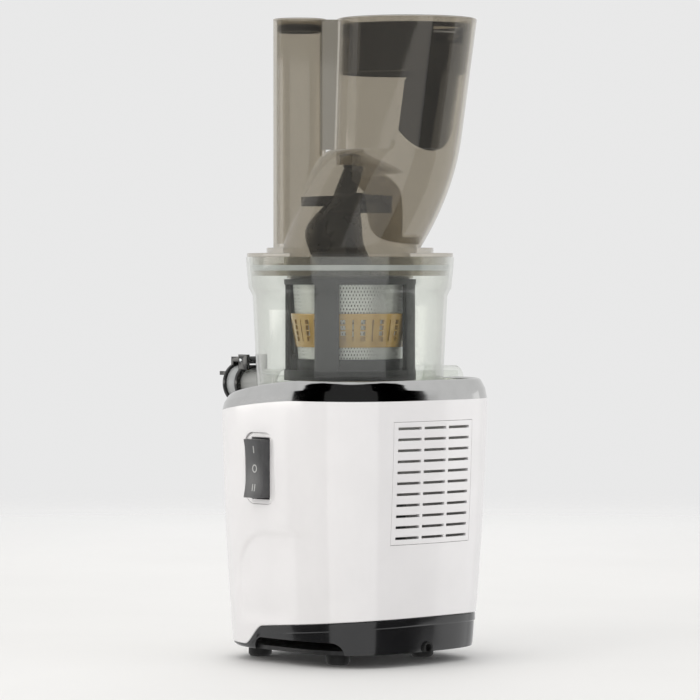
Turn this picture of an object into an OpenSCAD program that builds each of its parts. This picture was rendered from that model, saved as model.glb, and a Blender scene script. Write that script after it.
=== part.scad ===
// Cold press juicer: motor base, clear juice bowl with strainer and turning wiper, screw auger and a
// two-chute hopper. Millimetres, +Z up, juice spout towards -Y. The origin is under the middle of the
// whole machine, on the surface it stands on.

/* [Base body] */
// Half width of the white body at its top edge
body_half_top = 87.2; // [84:0.1:92]
// Half width of the white body at its bottom edge
body_half_foot = 80; // [76:0.1:83]
// Squareness of the body outline, 2 is a circle
squareness = 3.2; // [2.6:0.1:4]
// How far the middle of the body lies behind the drive axis
body_back = 5; // [0:0.5:8]
// Wall of the white body
shell_wall = 3; // [2:0.1:3.6]
// Height of the white body's top edge
shell_top = 195; // [194:0.5:197]
// Height of the seam between the white body and the dark skirt, at the back
skirt_top = 36; // [32:0.5:42]
// Fall of the seam towards the front, mm per mm
seam_slope = 0.085; // [0.04:0.005:0.09]
// How far the top edge dips at the front
front_dip = 10.4; // [6:0.1:11]
// Height of the skirt that is left at the front, under the seam's step
skirt_front = 3; // [2:0.1:5]
// Height of the bright trim ring
trim_h = 14.8; // [13:0.1:16]
// Share of its height that the trim ring loses at the front
trim_thin = 0.26; // [0:0.01:0.3]
// How far the trim ring leans in
trim_lean = 4.6; // [3:0.1:6]
// Wall of the trim ring
trim_wall = 2.4; // [2:0.1:3]
// Thickness of the deck
deck_t = 3; // [2.4:0.1:3]

/* [Skirt and feet] */
// Height of the feet, from the floor to the bottom plate
foot_h = 10; // [8:0.5:11]
// Radius of a foot
foot_r = 8.8; // [7:0.1:10]
// Half the distance between two feet
foot_reach = 43; // [40:0.5:46]
// How far the middle of the feet lies in front of the body's middle
feet_front = 15; // [0:0.5:15]
// Thickness of the bottom plate
plate_t = 3; // [2.5:0.1:4]
// Wall of the skirt
skirt_wall = 2.6; // [2:0.1:3.2]
// Height of the air arches in the skirt
arch_h = 9; // [8:0.5:12]
// Length of the air arches
arch_len = 84; // [60:1:88]
// Radius of the cord inlet
inlet_r = 4.5; // [3.5:0.1:5]

/* [Vent grille] */
// Width of the grille
vent_w = 80; // [70:1:84]
// Height of the grille
vent_h = 90; // [80:1:96]
// Height of the grille's middle
vent_z = 135; // [125:1:140]
// Rows of slots
vent_rows = 11; // [6:1:12]
// Columns of slots
vent_cols = 3; // [2:1:4]
// Height of a slot
slot_h = 2; // [1.4:0.1:3]
// Width left between the columns
slot_gap = 2.6; // [2:0.1:5]

/* [Switch] */
// Height of the rocker
rocker_h = 43; // [34:0.5:46]
// Width of the rocker
rocker_w = 19; // [16:0.5:22]
// Width of the switch frame on each side of the rocker
switch_side = 6.8; // [4:0.1:8]
// Width of the switch frame over and under the rocker
switch_end = 5; // [4:0.1:7]
// Height of the rocker's pivot
rocker_z = 144.5; // [130:0.5:150]
// How far the rocker's ends stand out of the body
rocker_out = 7.5; // [5:0.1:9]
// How far the rocker's face is hollowed
rocker_hollow = 2.5; // [1:0.1:3]
// How far the switch lies towards the front, from the middle of the body
switch_front = 10.6; // [6:0.1:14]
// Tilt of the rocker each way, degrees
rocker_tilt = 9; // [5:1:10]

/* [Drive] */
// Module of the gearbox teeth
gear_module = 0.9; // [0.85:0.01:0.92]
// Teeth of each small gear in the gearbox
pinion_teeth = 14; // [14:1:15]
// Teeth of each large gear in the gearbox
wheel_teeth = 56; // [52:1:56]
// Radius of the motor's shaft
motor_shaft_r = 4; // [3.6:0.1:4.2]
// Radius of the drive shaft
shaft_r = 7; // [6.5:0.1:7.2]
// Distance across the flats of the hexagon on the drive shaft
hex_flats = 12; // [10:0.1:12]
// Radius of the motor
motor_r = 42; // [38:0.5:44]
// Radius of the rotor
rotor_r = 23.6; // [20:0.1:24]
// Air gap between rotor and stator
air_gap = 0.5; // [0.4:0.1:1]
// Height of the stator
stator_h = 56; // [45:1:56]
// Radius of the cooling fan
fan_r = 37; // [30:0.5:38]
// Blades of the cooling fan
fan_blades = 9; // [7:1:13]
// Clearance of a shaft in its bearing or seal
run_gap = 0.05; // [0.03:0.01:0.1]

/* [Bowl] */
// Outer radius of the bowl's wall at the deck
bowl_r_low = 70; // [69:0.1:71]
// Outer radius of the bowl's wall under its ledge
bowl_r_mid = 73; // [72.4:0.1:73.6]
// Outer radius of the collar's rim
bowl_r_rim = 78; // [77.4:0.1:78.6]
// Wall of the bowl
bowl_wall = 2.5; // [2:0.1:2.8]
// Height of the bowl's floor, on its top face
bowl_floor = 206; // [205.5:0.1:206.5]
// Height of the ledge under the collar
ledge_z = 271; // [268:0.5:274]
// Height of the collar's rim
rim_z = 300; // [299:0.5:301]
// Radius of the spout's bore
spout_bore = 7; // [6:0.1:7]
// Outer radius of the spout
spout_r = 11.6; // [10:0.1:12]
// Height of the spout's middle
spout_z = 203; // [203:0.1:204]
// Reach of the spout in front of the drive axis
spout_reach = 115; // [108:0.5:120]
// Outer radius of the collar ring on the spout
ring_r = 15.3; // [14.8:0.1:15.6]
// Radius of the juice cap's plate
cap_r = 16; // [15:0.1:16.5]
// How far the cap's finger tab stands out
tab_len = 11.5; // [8:0.5:14]
// Reach of the pulp duct to the left of the drive axis
duct_reach = 105; // [102:0.5:112]
// Width of the pulp duct
duct_w = 30; // [24:1:38]
// Height of the pulp duct
duct_h = 22.6; // [20:0.1:23]

/* [Strainer and wiper] */
// Outer radius of the strainer at its foot
strainer_r_low = 38.4; // [38:0.1:39]
// Outer radius of the gold band at its top
band_r_top = 44.6; // [43.8:0.1:45]
// Thickness of the strainer's sheet
sheet_t = 1; // [0.8:0.1:1.3]
// Height of the gold band's lower edge
band_z = 233; // [231:0.5:236]
// Height of the gold band
band_h = 25; // [20:0.5:26]
// Slot columns in the gold band
band_slots = 36; // [24:2:40]
// Inner radius of the wiper's arms
wiper_r = 46; // [45.8:0.1:46.5]
// Thickness of the wiper's arms
wiper_t = 3.4; // [2.6:0.1:4]
// Arms of the wiper
wiper_arms = 4; // [3:1:6]
// Width of each of the wiper's arms
wiper_arm_w = 19; // [14:0.5:22]
// Module of the teeth in the bowl
bowl_module = 1.5; // [1.45:0.01:1.52]
// Teeth of the auger's gear
auger_teeth = 16; // [16:2:18]
// Teeth of the idler gear
idler_teeth = 12; // [12:2:14]

/* [Auger] */
// Radius of the auger's core at its foot
core_r_low = 15; // [13:0.5:18]
// Radius of the auger's core at the bowl's rim
core_r_high = 21; // [17:0.5:24]
// Outer radius of the screw flights
flight_r = 35; // [32:0.5:36]
// Pitch of the screw
flight_pitch = 62; // [50:1:80]
// Thickness of a flight at its root
flight_t = 5; // [4:0.5:7]
// How far the screw's head bulges out to one side
head_off = 12.2; // [6:0.1:13]
// Reach of the cutting wing above the screw
wing_r = 37; // [32:0.5:38]

/* [Hopper] */
// Direction of the large chute from the drive axis, degrees
hopper_turn = 136; // [125:1:145]
// Height of the hopper's rim
hopper_top = 477; // [465:1:485]
// Wall of the hopper
hopper_wall = 2.6; // [2:0.1:3]
// Outer radius of the large chute's mouth
mouth_r = 52.5; // [50:0.1:54]
// Distance of the large mouth's middle from the drive axis
mouth_off = 42.5; // [40:0.5:44]
// Outer radius of the small chute
small_r = 19.8; // [18:0.1:21]
// Distance of the small chute's middle from the drive axis
small_off = 37.8; // [36:0.1:39]
// Radius of the auger's chamber, outside
chamber_r = 53; // [52:0.1:54]
// Lean of the large chute's outer wall, mm per mm
chute_lean = 0.13; // [0.08:0.01:0.16]
// Height where the large chute starts to tuck in
tuck_z = 390; // [380:1:400]
// Height of the crotch between the two chutes
crotch_z = 380; // [372:1:388]
// Depth of the collar's skirt in the large mouth
collar_h = 40; // [25:1:44]
// Wall of the mouth collar
collar_wall = 2; // [1.6:0.1:2.4]
// Gap between the tip of the gate and the far side of the collar, as the gate swings up
gate_gap = 2.7; // [1:0.1:20]
// How far the hanging gate reaches below the crotch
gate_below = 2; // [-20:0.5:4]
// Half angle that the gate takes of the mouth's circle, degrees
gate_half = 38; // [25:1:39]
// Lean of the hanging gate off the wall, degrees
gate_hang = 11; // [9:1:16]

/* [Hidden] */
$fn = 72;

sides = 72;              // corners of the body's outline
join = 0.3;              // gap between faces that move apart
eps = 0.01;

// The drive axis, seen from the middle of the machine
gasket_gap = 0.4;
gasket_t = 9.3;
plate_y = -spout_reach - gasket_gap - gasket_t;
cap_t = 2.4;
face_x = body_half(0.64);
front_reach = cap_t + tab_len - plate_y;
back_reach = body_half_top + body_back;
left_reach = duct_reach;
right_reach = face_x + rocker_out;
axis_x = (left_reach - right_reach) / 2;
axis_y = (front_reach - back_reach) / 2;

// Heights of the base
plate_top = foot_h + plate_t;
trim_top = shell_top + trim_h;
deck_top = trim_top - 1.6;
well_floor = bowl_floor - 13;
well_r = bowl_r_low + 1.5;

// The top edge dips from behind the body's middle, over this stretch, and stays level in front of it
dip_from = 30;
dip_run = 101;
// The seam steps down over this stretch in front of the body's middle, to what is left of the skirt
step_from = 15;
step_len = 21;
seam_fall = seam_slope * (body_half_foot + step_from + step_len);
seam_step = skirt_top - seam_fall - foot_h - skirt_front;

// Air arches: their front end stays behind the seam's step, and they run back from it
arch_front = body_back - 25;
arch_round = min(8, arch_h - 1);

// Electrics beside the motor
board_x = motor_r + 8;
board_t = 2;
board_w = 64;
board_h = 52;
board_z = plate_top + 22;
relay = [10, 14, 18];
terminal = [8, 18, 14];
can_r = 12;
can_h = 50;
can_x = -motor_r - 18;
can_y = 20;

// Switch
pivot_in = 6;
rocker_in = 9;
frame_sink = 1;
frame_back = 2;
frame_depth = pivot_in + rocker_h / 2 * sin(rocker_tilt) + (rocker_in - pivot_in) * cos(rocker_tilt)
  + join + frame_back;
rocker_room = rocker_h / 2 / cos(rocker_tilt) + (pivot_in - frame_sink) * tan(rocker_tilt) + join;
switch_w = rocker_w + 2 * switch_side;
switch_h = rocker_h + 2 * switch_end;
switch_corner = 9;

// Motor and gearbox
bell_z = plate_top + 13;
stator_z = bell_z + 22;
stator_top = stator_z + stator_h;
case_z = stator_top + 11;
case_floor = 4;
case_wall = 3;
pair_d = gear_module * (pinion_teeth + wheel_teeth) / 2;
wheel_tip = gear_module * (wheel_teeth / 2 + 1);
case_r = wheel_tip + 2 + case_wall;
stage1_z = case_z + 9;
stage1_h = 11;
stage2_z = stage1_z + stage1_h + 8;
stage2_h = 13;
cover_t = 4;
cover_z = well_floor - deck_t - 2 - 8 - cover_t;
hub_r = 17;
bearing_r = 13;
bearing_h = 8;
hub_z = stage2_z + stage2_h + 3;
hub_top = cover_z + cover_t + 7;
pin_r = 4;

// Bowl, strainer, wiper and auger
gear_z = bowl_floor + 2;
gear_h = 6;
floor_t = 3;
hex_r = hex_flats / 2 / cos(30);
hex_top = gear_z + 24;
post_d = bowl_module * (auger_teeth + idler_teeth) / 2;
ring_teeth = auger_teeth + 2 * idler_teeth;
ring_root = bowl_module * (ring_teeth / 2 + 1.3);
wiper_gear_r = ring_root + 4;
idler_angle = 60;
post_angle = 300;
port_angle = 180;
post_r = 4.5;
port_r = 5;
base_z = gear_z + gear_h + 1;
base_h = 4;
mesh_z = base_z + base_h;
ring_z = rim_z - 19;
wiper_out = wiper_r + wiper_t;
wiper_turn = 26;
wiper_rim_z = ring_z + 2.5;
gutter_y = 50;
gutter_wall = 2.4;
ring_t = 3.5;
ear_x = 7.6;
ear_t = 3;
pad_z = spout_z + spout_r + 2.4;
notch_r = spout_r + 1.2;
knuckle = 2.9;
cap_hinge_z = pad_z + knuckle + 1;
cap_hinge_y = -spout_reach + 2.5;
pin_small = 1.5;
duct_top = bowl_floor + 11.6;
duct_z = duct_top - duct_h;
screw_z = mesh_z + 3;
screw_top = rim_z + 33;
neck_z = screw_top + 15;
head_z = rim_z - 12;
head_turn = -43;
head_twist = 50;
head_draw = 10;
spindle_z = neck_z + 20;
spindle_r = 5;
bush_z = spindle_z + 1;
bush_r = 8;
hub_disc = spindle_z + 10;

// Hopper
base_plate_z = rim_z + 0.2;
chamber_z = rim_z + 7;
edge_top = mouth_off + mouth_r;
tuck = edge_top - chute_lean * (hopper_top - chamber_z) - chamber_r;
crotch_u = mouth_off - mouth_r - 3;
collar_gap = 0.25;
collar_r = mouth_r - hopper_wall - collar_gap;
gate_r = collar_r - collar_wall - 3.6;
gate_t = 2;
gate_axis = gate_r - 3;
gate_dir = -48;
hinge_z = hopper_top - 13;
// The gate is as long as both the mouth that it swings in and the chute that it hangs in leave room for
gate_len = min(gate_axis + collar_r - collar_wall - gate_gap, hinge_z - crotch_z + gate_below);
gate_shoulder = 9;
knuckle_r = 3;
gate_pin_r = 1.5;
leaf_half = 15;
hinge_half = leaf_half + 4.6;

// --- outlines and lofts ---

// Distance of a rounded square's edge from its middle, in direction a
function squircle(w, a) =
  w / pow(pow(abs(cos(a)), squareness) + pow(abs(sin(a)), squareness), 1 / squareness);
function outline(w) = [for (i = [0:sides - 1])
  let (a = 360 * i / sides, r = squircle(w, a)) [r * cos(a), r * sin(a)]];
function smooth(t) = let (c = min(1, max(0, t))) c * c * (3 - 2 * c);
function dip(y) = front_dip * pow(min(1, max(0, dip_from - y) / dip_run), 1.5);
function drop(y) = seam_slope * (body_half_foot - max(y, -step_from - step_len))
  + seam_step * smooth((-y - step_from) / step_len);
// Height of what stands `up` over the dipped top edge: it gets lower towards the front
function top_z(y, up) = shell_top - dip(y) + up * (1 - trim_thin * dip(y) / front_dip);
function body_half(t) = body_half_top - (body_half_top - body_half_foot) * pow(1 - t, 1.5);

// One ring of the body's side: t runs from the bottom edge to the top edge, inset goes inwards
function body_ring(t, inset, up = 0) = [for (p = outline(body_half(t) - inset))
  [p.x, p.y + body_back, (1 - t) * (skirt_top - drop(p.y)) + t * (shell_top - dip(p.y)) + up]];
// One ring at a height over the dipped top edge
function top_ring(w, up) = [for (p = outline(w)) [p.x, p.y + body_back, top_z(p.y, up)]];
// One ring at a height over the floor, up to the dropped seam
function foot_ring(w, t) = [for (p = outline(w))
  [p.x, p.y + body_back, foot_h + t * (skirt_top - drop(p.y) - foot_h)]];

// A skin through rings of points: closed through the last ring to the first, or capped
module loft(rings, looped = false) {
  n = len(rings[0]);
  m = len(rings);
  points = [for (r = rings) for (p = r) p];
  spans = looped ? m : m - 1;
  quads = [for (i = [0:spans - 1], j = [0:n - 1])
    let (a = i * n, b = ((i + 1) % m) * n, k = (j + 1) % n)
      for (f = [[a + j, b + j, b + k], [a + j, b + k, a + k]]) f];
  caps = looped ? [] : [[for (j = [0:n - 1]) j], [for (j = [n - 1:-1:0]) (m - 1) * n + j]];
  polyhedron(points, concat(quads, caps), convexity = 8);
}

module tube(r_out, r_in, h) {
  difference() {
    cylinder(r = r_out, h = h);
    translate([0, 0, -1]) cylinder(r = r_in, h = h + 2);
  }
}

module at_axis() {
  translate([axis_x, axis_y, 0]) children();
}

module at_feet() {
  for (x = [-1, 1], y = [-1, 1]) translate([x * foot_reach, y * foot_reach + body_back - feet_front, 0])
    children();
}

// --- gears ---

function rot(p, a) = [p.x * cos(a) - p.y * sin(a), p.x * sin(a) + p.y * cos(a)];
// Involute flank of a base circle, at radius r, turned back by the tooth's half angle
function flank(rb, r, half) =
  let (t = sqrt(max(0, pow(r / rb, 2) - 1)), a = t * 180 / PI - atan(t)) [r, half - a];
// Outline of a spur gear: slack thins each tooth, as a share of the pitch
function gear_points(m, z, slack, add = 1, ded = 1.25) =
  let (rp = m * z / 2, rb = rp * cos(25), inv = (tan(25) - 25 * PI / 180) * 180 / PI,
    half = 90 / z * (1 - slack) + inv, root = rp - ded * m, tip = rp + add * m,
    radii = [root, max(root + 0.05, rb), rp, (rp + tip) / 2, tip],
    side = [for (r = radii) flank(rb, max(r, rb), half)])
  [for (k = [0:z - 1]) let (mid = 360 * k / z)
    for (i = [0:9]) let (j = i < 5 ? i : 9 - i, sgn = i < 5 ? -1 : 1)
      rot([radii[j], 0], mid + sgn * side[j][1])];

module gear(m, z, h, slack = 0.08, add = 1, ded = 1.25) {
  linear_extrude(h) polygon(gear_points(m, z, slack, add, ded));
}

// --- base ---

module vent_place() {
  translate([0, body_back, vent_z]) children();
}

module inlet_place() {
  translate([0, body_half_foot - skirt_wall - 2 + body_back, plate_top])
    rotate([-90, 0, 0]) children();
}

module switch_place() {
  translate([0, body_back - switch_front, rocker_z]) children();
}

// Side wall of the body, from the seam up to the trim ring
module body_skin() {
  loft(concat([for (i = [0:8]) body_ring(i / 8, 0)],
    [for (i = [8:-2:0]) body_ring(i / 8, shell_wall)]), looped = true);
}

// Room for the spout and for the pulp duct, open at the top so that the bowl lifts out
module spout_notch(r) {
  difference() {
    union() {
      translate([0, 0, spout_z]) rotate([90, 0, 0]) cylinder(r = r, h = spout_reach);
      translate([-r, -spout_reach, spout_z]) cube([2 * r, spout_reach, 60]);
    }
    translate([0, 0, well_floor - 60]) cylinder(r = well_r + 0.8, h = 60);
  }
}

module duct_notch(depth) {
  translate([-body_half_top - 10, -duct_w / 2 - 2, duct_z - 2]) cube([depth + 10, duct_w + 4, 60]);
}

// A plate with round corners, standing across the X axis
module round_plate(w, h, t, r) {
  rotate([90, 0, 90]) linear_extrude(t) {
    square([w - 2 * r, h], center = true);
    square([w, h - 2 * r], center = true);
    for (x = [-1, 1], y = [-1, 1]) translate([x * (w / 2 - r), y * (h / 2 - r)]) circle(r = r);
  }
}

module body_shell() {
  color("#eceaea") at_axis() difference() {
    body_skin();
    vent_place() translate([-vent_w / 2, 60, -vent_h / 2]) cube([vent_w, 40, vent_h]);
    switch_place() translate([60, 0, 0])
      round_plate(switch_w, switch_h, 40, switch_corner);
    duct_notch(10);
  }
}

module trim_ring() {
  color("#c4c4c2") at_axis() difference() {
    loft([top_ring(body_half_top, 0), top_ring(body_half_top - trim_lean * 0.22, trim_h * 0.35),
      top_ring(body_half_top - trim_lean * 0.62, trim_h * 0.72),
      top_ring(body_half_top - trim_lean, trim_h * 0.92),
      top_ring(body_half_top - trim_lean - 1.4, trim_h),
      top_ring(body_half_top - trim_lean - trim_wall - 0.6, trim_h - 1.2),
      top_ring(body_half_top - trim_lean - trim_wall - 0.6, 3),
      top_ring(body_half_top - shell_wall, 0)], looped = true);
    duct_notch(20);
    spout_notch(notch_r + 1.6);
  }
}

// The deck closes the body under the bowl: a round well inside the trim ring, with a saddle for the duct
module deck() {
  edge = body_half_top - trim_lean - trim_wall - 0.7;
  well = [for (i = [0:sides - 1]) let (a = 360 * i / sides) [well_r * cos(a), well_r * sin(a)]];
  color("#171717") at_axis() difference() {
    union() {
      loft([top_ring(edge, 3), top_ring(edge, trim_h - 1.6),
        [for (p = well) [p.x, p.y, top_z(p.y - body_back, deck_top + 1.4 - shell_top)]],
        [for (p = well) [p.x, p.y, well_floor - deck_t]]], looped = true);
      difference() {
        translate([0, 0, well_floor - deck_t]) cylinder(r = well_r + 0.8, h = deck_t);
        translate([0, 0, well_floor - deck_t - 1]) cylinder(r = shaft_r + 5, h = deck_t + 2);
      }
      intersection() {
        translate([0, 0, spout_z]) rotate([90, 0, 0])
          cylinder(r = notch_r + 1.4, h = body_half_top - body_back - 0.6);
        translate([-30, -100, spout_z - 30]) cube([60, 100 - well_r + 0.5, 24]);
      }
    }
    duct_notch(60);
    spout_notch(notch_r);
  }
}

module base_skirt() {
  w = body_half_foot - 0.6;
  color("#2a2a2b") at_axis() difference() {
    loft([foot_ring(w - 1.4, 0), foot_ring(w - 0.5, 0.3), foot_ring(w, 0.985),
      foot_ring(w - skirt_wall, 0.985), foot_ring(w - skirt_wall - 0.9, 0)], looped = true);
    translate([-2 * w, arch_front, foot_h - 1]) cube([4 * w, arch_len, arch_h + 1 - arch_round]);
    translate([-2 * w, arch_front + arch_round, foot_h - 1])
      cube([4 * w, arch_len - 2 * arch_round, arch_h + 1]);
    for (y = [arch_front + arch_round, arch_front + arch_len - arch_round])
      translate([-2 * w, y, foot_h + arch_h - arch_round]) rotate([0, 90, 0])
        cylinder(r = arch_round, h = 4 * w);
    inlet_place() {
      cylinder(r = inlet_r, h = 20);
      translate([-inlet_r, 0, 0]) cube([2 * inlet_r, 10, 20]);
    }
  }
}

module bottom_plate() {
  w = body_half_foot - skirt_wall - 2.4;
  color("#3a3a3b") at_axis() difference() {
    translate([0, body_back, foot_h]) linear_extrude(plate_t) polygon(outline(w));
    at_feet() translate([0, 0, foot_h - 1]) cylinder(r = 2.6, h = plate_t + 2);
    for (i = [-3:3]) translate([-20, i * 7 - 1.5, foot_h - 1]) cube([40, 3, plate_t + 2]);
  }
}

module rubber_feet() {
  color("#1d1d1d") at_axis() at_feet() difference() {
    union() {
      cylinder(r = foot_r - 1, h = 1.2);
      translate([0, 0, 1.2]) cylinder(r = foot_r, h = foot_h - 1.2);
    }
    translate([0, 0, 3]) cylinder(r = 2.6, h = foot_h);
    translate([0, 0, -1]) cylinder(r = 4.8, h = 4);
  }
}

module foot_screws() {
  color("#8d8d8d") at_axis() at_feet() {
    translate([0, 0, 1]) cylinder(r = 4.4, h = 2);
    translate([0, 0, 2]) cylinder(r = 2.5, h = plate_top - join - 2);
  }
}

// The grille continues the body's wall
module vent_grille() {
  w = vent_w - 0.6;
  h = vent_h - 0.6;
  col_w = (vent_w - 8 - slot_gap * (vent_cols - 1)) / vent_cols;
  pitch = (vent_h - 10) / (vent_rows - 1);
  color("#e4e2e2") at_axis() difference() {
    intersection() {
      body_skin();
      vent_place() translate([-w / 2, 60, -h / 2]) cube([w, 40, h]);
    }
    vent_place() for (r = [0:vent_rows - 1], c = [0:vent_cols - 1])
      translate([c * (col_w + slot_gap) + 4 - vent_w / 2, 60, (r - (vent_rows - 1) / 2) * pitch - slot_h / 2])
        cube([col_w, 40, slot_h]);
  }
}

module switch_frame() {
  color("#dcdada") at_axis() switch_place() difference() {
    translate([face_x - frame_depth, 0, 0])
      round_plate(switch_w - 2 * join, switch_h - 2 * join, frame_depth - frame_sink, switch_corner - join);
    translate([face_x - frame_depth + frame_back, -rocker_w / 2 - 0.5, -rocker_room])
      cube([frame_depth, rocker_w + 1, 2 * rocker_room]);
    translate([face_x - pivot_in, -rocker_w, 0]) rotate([-90, 0, 0])
      cylinder(r = 2 + run_gap, h = 2 * rocker_w);
  }
}

// The rocker on its pivot pin, with a hollow face
module switch_rocker() {
  half = rocker_h / 2;
  hollow_r = (half * half + rocker_hollow * rocker_hollow) / 2 / rocker_hollow;
  color("#2e2e2e") at_axis() switch_place() {
    difference() {
      translate([face_x - rocker_in, -rocker_w / 2, -half])
        cube([rocker_in + rocker_out, rocker_w, rocker_h]);
      translate([face_x + rocker_out - rocker_hollow + hollow_r, -rocker_w, 0])
        rotate([-90, 0, 0]) cylinder(r = hollow_r, h = 2 * rocker_w, $fn = 180);
    }
    translate([face_x - pivot_in, -rocker_w / 2 - 2.5, 0]) rotate([-90, 0, 0])
      cylinder(r = 2, h = rocker_w + 5);
  }
}

// Grommet in the skirt's notch, where a cord goes in
module cord_inlet() {
  color("#141414") at_axis() inlet_place() difference() {
    tube(inlet_r - 0.1, inlet_r - 1.6, skirt_wall + 1.6);
    translate([-inlet_r, plate_t - 0.3, -1]) cube([2 * inlet_r, inlet_r, 20]);
  }
}

module control_board() {
  color("#2f5d3a") at_axis() translate([board_x, -board_x, board_z]) {
    cube([board_t, board_w, board_h]);
    translate([board_t, board_w / 8, board_h / 6]) cube(relay);
    translate([board_t, board_w / 2, board_h / 2]) cube(terminal);
  }
}

module capacitor() {
  color("#6f7377") at_axis() translate([can_x, can_y, plate_top]) cylinder(r = can_r, h = can_h);
}

// --- motor ---

module motor_stator() {
  color("#8a8c8e") at_axis() translate([0, 0, stator_z]) tube(motor_r, rotor_r + air_gap, stator_h);
}

module motor_coils() {
  color("#b5652b") at_axis() for (z = [stator_z - 9, stator_top])
    translate([0, 0, z]) tube(motor_r - 5, rotor_r + 3, 9);
}

module motor_end_bell() {
  color("#a9abad") at_axis() difference() {
    union() {
      translate([-motor_r, -motor_r, bell_z]) cube([2 * motor_r, 2 * motor_r, 4]);
      translate([0, 0, bell_z]) cylinder(r = motor_r, h = stator_z - bell_z);
    }
    translate([0, 0, bell_z + 4]) tube(motor_r - 4, 15, stator_z);
    translate([0, 0, bell_z + 12]) cylinder(r = motor_r - 4, h = stator_z);
    translate([0, 0, bell_z - 1]) cylinder(r = motor_shaft_r + 3, h = 40);
    translate([0, 0, bell_z + 4]) cylinder(r = 11, h = 40);
    for (i = [0:5]) rotate(30 + 60 * i) translate([25, 0, bell_z - 1]) cylinder(r = 6, h = 6);
  }
}

module motor_bearings() {
  color("#c9ccd0") at_axis() for (z = [bell_z + 4, case_z - 5])
    translate([0, 0, z]) tube(11, motor_shaft_r + run_gap, 7);
}

module motor_isolators() {
  d = motor_r - 9;
  color("#202020") at_axis() for (x = [-d, d], y = [-d, d])
    translate([x, y, plate_top]) cylinder(r = 5.5, h = bell_z - plate_top);
}

module rotor() {
  color("#75777a") at_axis() {
    translate([0, 0, plate_top + 2]) cylinder(r = motor_shaft_r, h = stage1_z + stage1_h + 1 - plate_top - 2);
    translate([0, 0, stator_z - 2]) cylinder(r = rotor_r, h = stator_h + 4);
  }
}

module cooling_fan() {
  color("#303234") at_axis() translate([0, 0, plate_top + 3]) difference() {
    union() {
      cylinder(r = 11, h = 8);
      cylinder(r = fan_r, h = 1.6);
      for (i = [0:fan_blades - 1]) rotate(360 / fan_blades * i)
        translate([8, -0.9, 0]) cube([fan_r - 9, 1.8, 8]);
    }
    translate([0, 0, -1]) cylinder(r = motor_shaft_r, h = 12);
  }
}

module motor_pinion() {
  color("#b8a25a") at_axis() translate([0, 0, stage1_z]) difference() {
    gear(gear_module, pinion_teeth, stage1_h);
    translate([0, 0, -1]) cylinder(r = motor_shaft_r, h = stage1_h + 2);
  }
}

module two_towers(r, h) {
  cylinder(r = r, h = h);
  translate([pair_d, 0, 0]) cylinder(r = r, h = h);
  translate([0, -r, 0]) cube([pair_d, 2 * r, h]);
}

module case_screw_places() {
  side = case_r + 3;
  for (x = [0, pair_d], y = [-side, side]) translate([x, y, 0]) children();
}

module gearbox_case() {
  color("#9ea1a4") at_axis() difference() {
    union() {
      translate([0, 0, case_z]) two_towers(case_r, cover_z - case_z);
      translate([0, 0, stator_top]) cylinder(r = motor_r, h = case_z - stator_top + case_floor);
      case_screw_places() translate([0, 0, cover_z - 14]) cylinder(r = 4.5, h = 14);
    }
    difference() {
      translate([0, 0, case_z + case_floor]) two_towers(case_r - case_wall, cover_z);
      translate([pair_d, 0, case_z]) cylinder(r = pin_r + 3, h = 8);
    }
    translate([0, 0, stator_top - 1]) tube(motor_r - 4, 15, 11);
    translate([0, 0, stator_top - 1]) cylinder(r = motor_r - 4, h = 5);
    translate([0, 0, case_z - 5]) cylinder(r = 11, h = 7);
    translate([0, 0, case_z - 8]) cylinder(r = motor_shaft_r + 2, h = 22);
    translate([pair_d, 0, case_z + 2]) cylinder(r = pin_r, h = 10);
    case_screw_places() translate([0, 0, cover_z - 12]) cylinder(r = 1.8, h = 14);
  }
}

module gearbox_cover() {
  color("#a6a9ac") at_axis() difference() {
    union() {
      translate([0, 0, cover_z]) two_towers(case_r, cover_t);
      case_screw_places() translate([0, 0, cover_z]) cylinder(r = 4.5, h = cover_t);
      translate([0, 0, hub_z]) cylinder(r = hub_r, h = hub_top - hub_z);
    }
    translate([0, 0, hub_z - 1]) cylinder(r = shaft_r + 1.5, h = 60);
    translate([0, 0, hub_z - 1]) cylinder(r = bearing_r, h = bearing_h + 1);
    translate([0, 0, hub_top - bearing_h]) cylinder(r = bearing_r, h = bearing_h + 1);
    translate([pair_d, 0, cover_z - 1]) cylinder(r = pin_r, h = cover_t);
    case_screw_places() translate([0, 0, cover_z - 1]) cylinder(r = 2, h = cover_t + 2);
  }
}

module gearbox_screws() {
  color("#7f8183") at_axis() case_screw_places() {
    translate([0, 0, cover_z + cover_t]) cylinder(r = 3.4, h = 2.4);
    translate([0, 0, cover_z - 10]) cylinder(r = 1.75, h = 10 + cover_t);
  }
}

module gear_pin() {
  color("#c2c5c8") at_axis() translate([pair_d, 0, case_z + 2])
    cylinder(r = pin_r, h = cover_z + cover_t - 3 - case_z);
}

module reduction_gear() {
  color("#c9b98a") at_axis() translate([pair_d, 0, 0]) difference() {
    union() {
      translate([0, 0, stage1_z]) rotate(180 + 180 / wheel_teeth) gear(gear_module, wheel_teeth, stage1_h);
      translate([0, 0, stage1_z + stage1_h])
        cylinder(r = gear_module * (pinion_teeth / 2 - 1.3), h = stage2_z - stage1_z - stage1_h);
      translate([0, 0, stage2_z]) rotate(180) gear(gear_module, pinion_teeth, stage2_h);
      translate([0, 0, stage2_z + stage2_h])
        cylinder(r = pin_r + 1.4, h = cover_z - 1 - stage2_z - stage2_h);
    }
    translate([0, 0, stage1_z - 1]) cylinder(r = pin_r + run_gap, h = 60);
  }
}

module output_gear() {
  color("#b8a25a") at_axis() translate([0, 0, stage2_z]) difference() {
    rotate(180 / wheel_teeth) gear(gear_module, wheel_teeth, stage2_h);
    translate([0, 0, -1]) cylinder(r = shaft_r, h = stage2_h + 2);
  }
}

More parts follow.
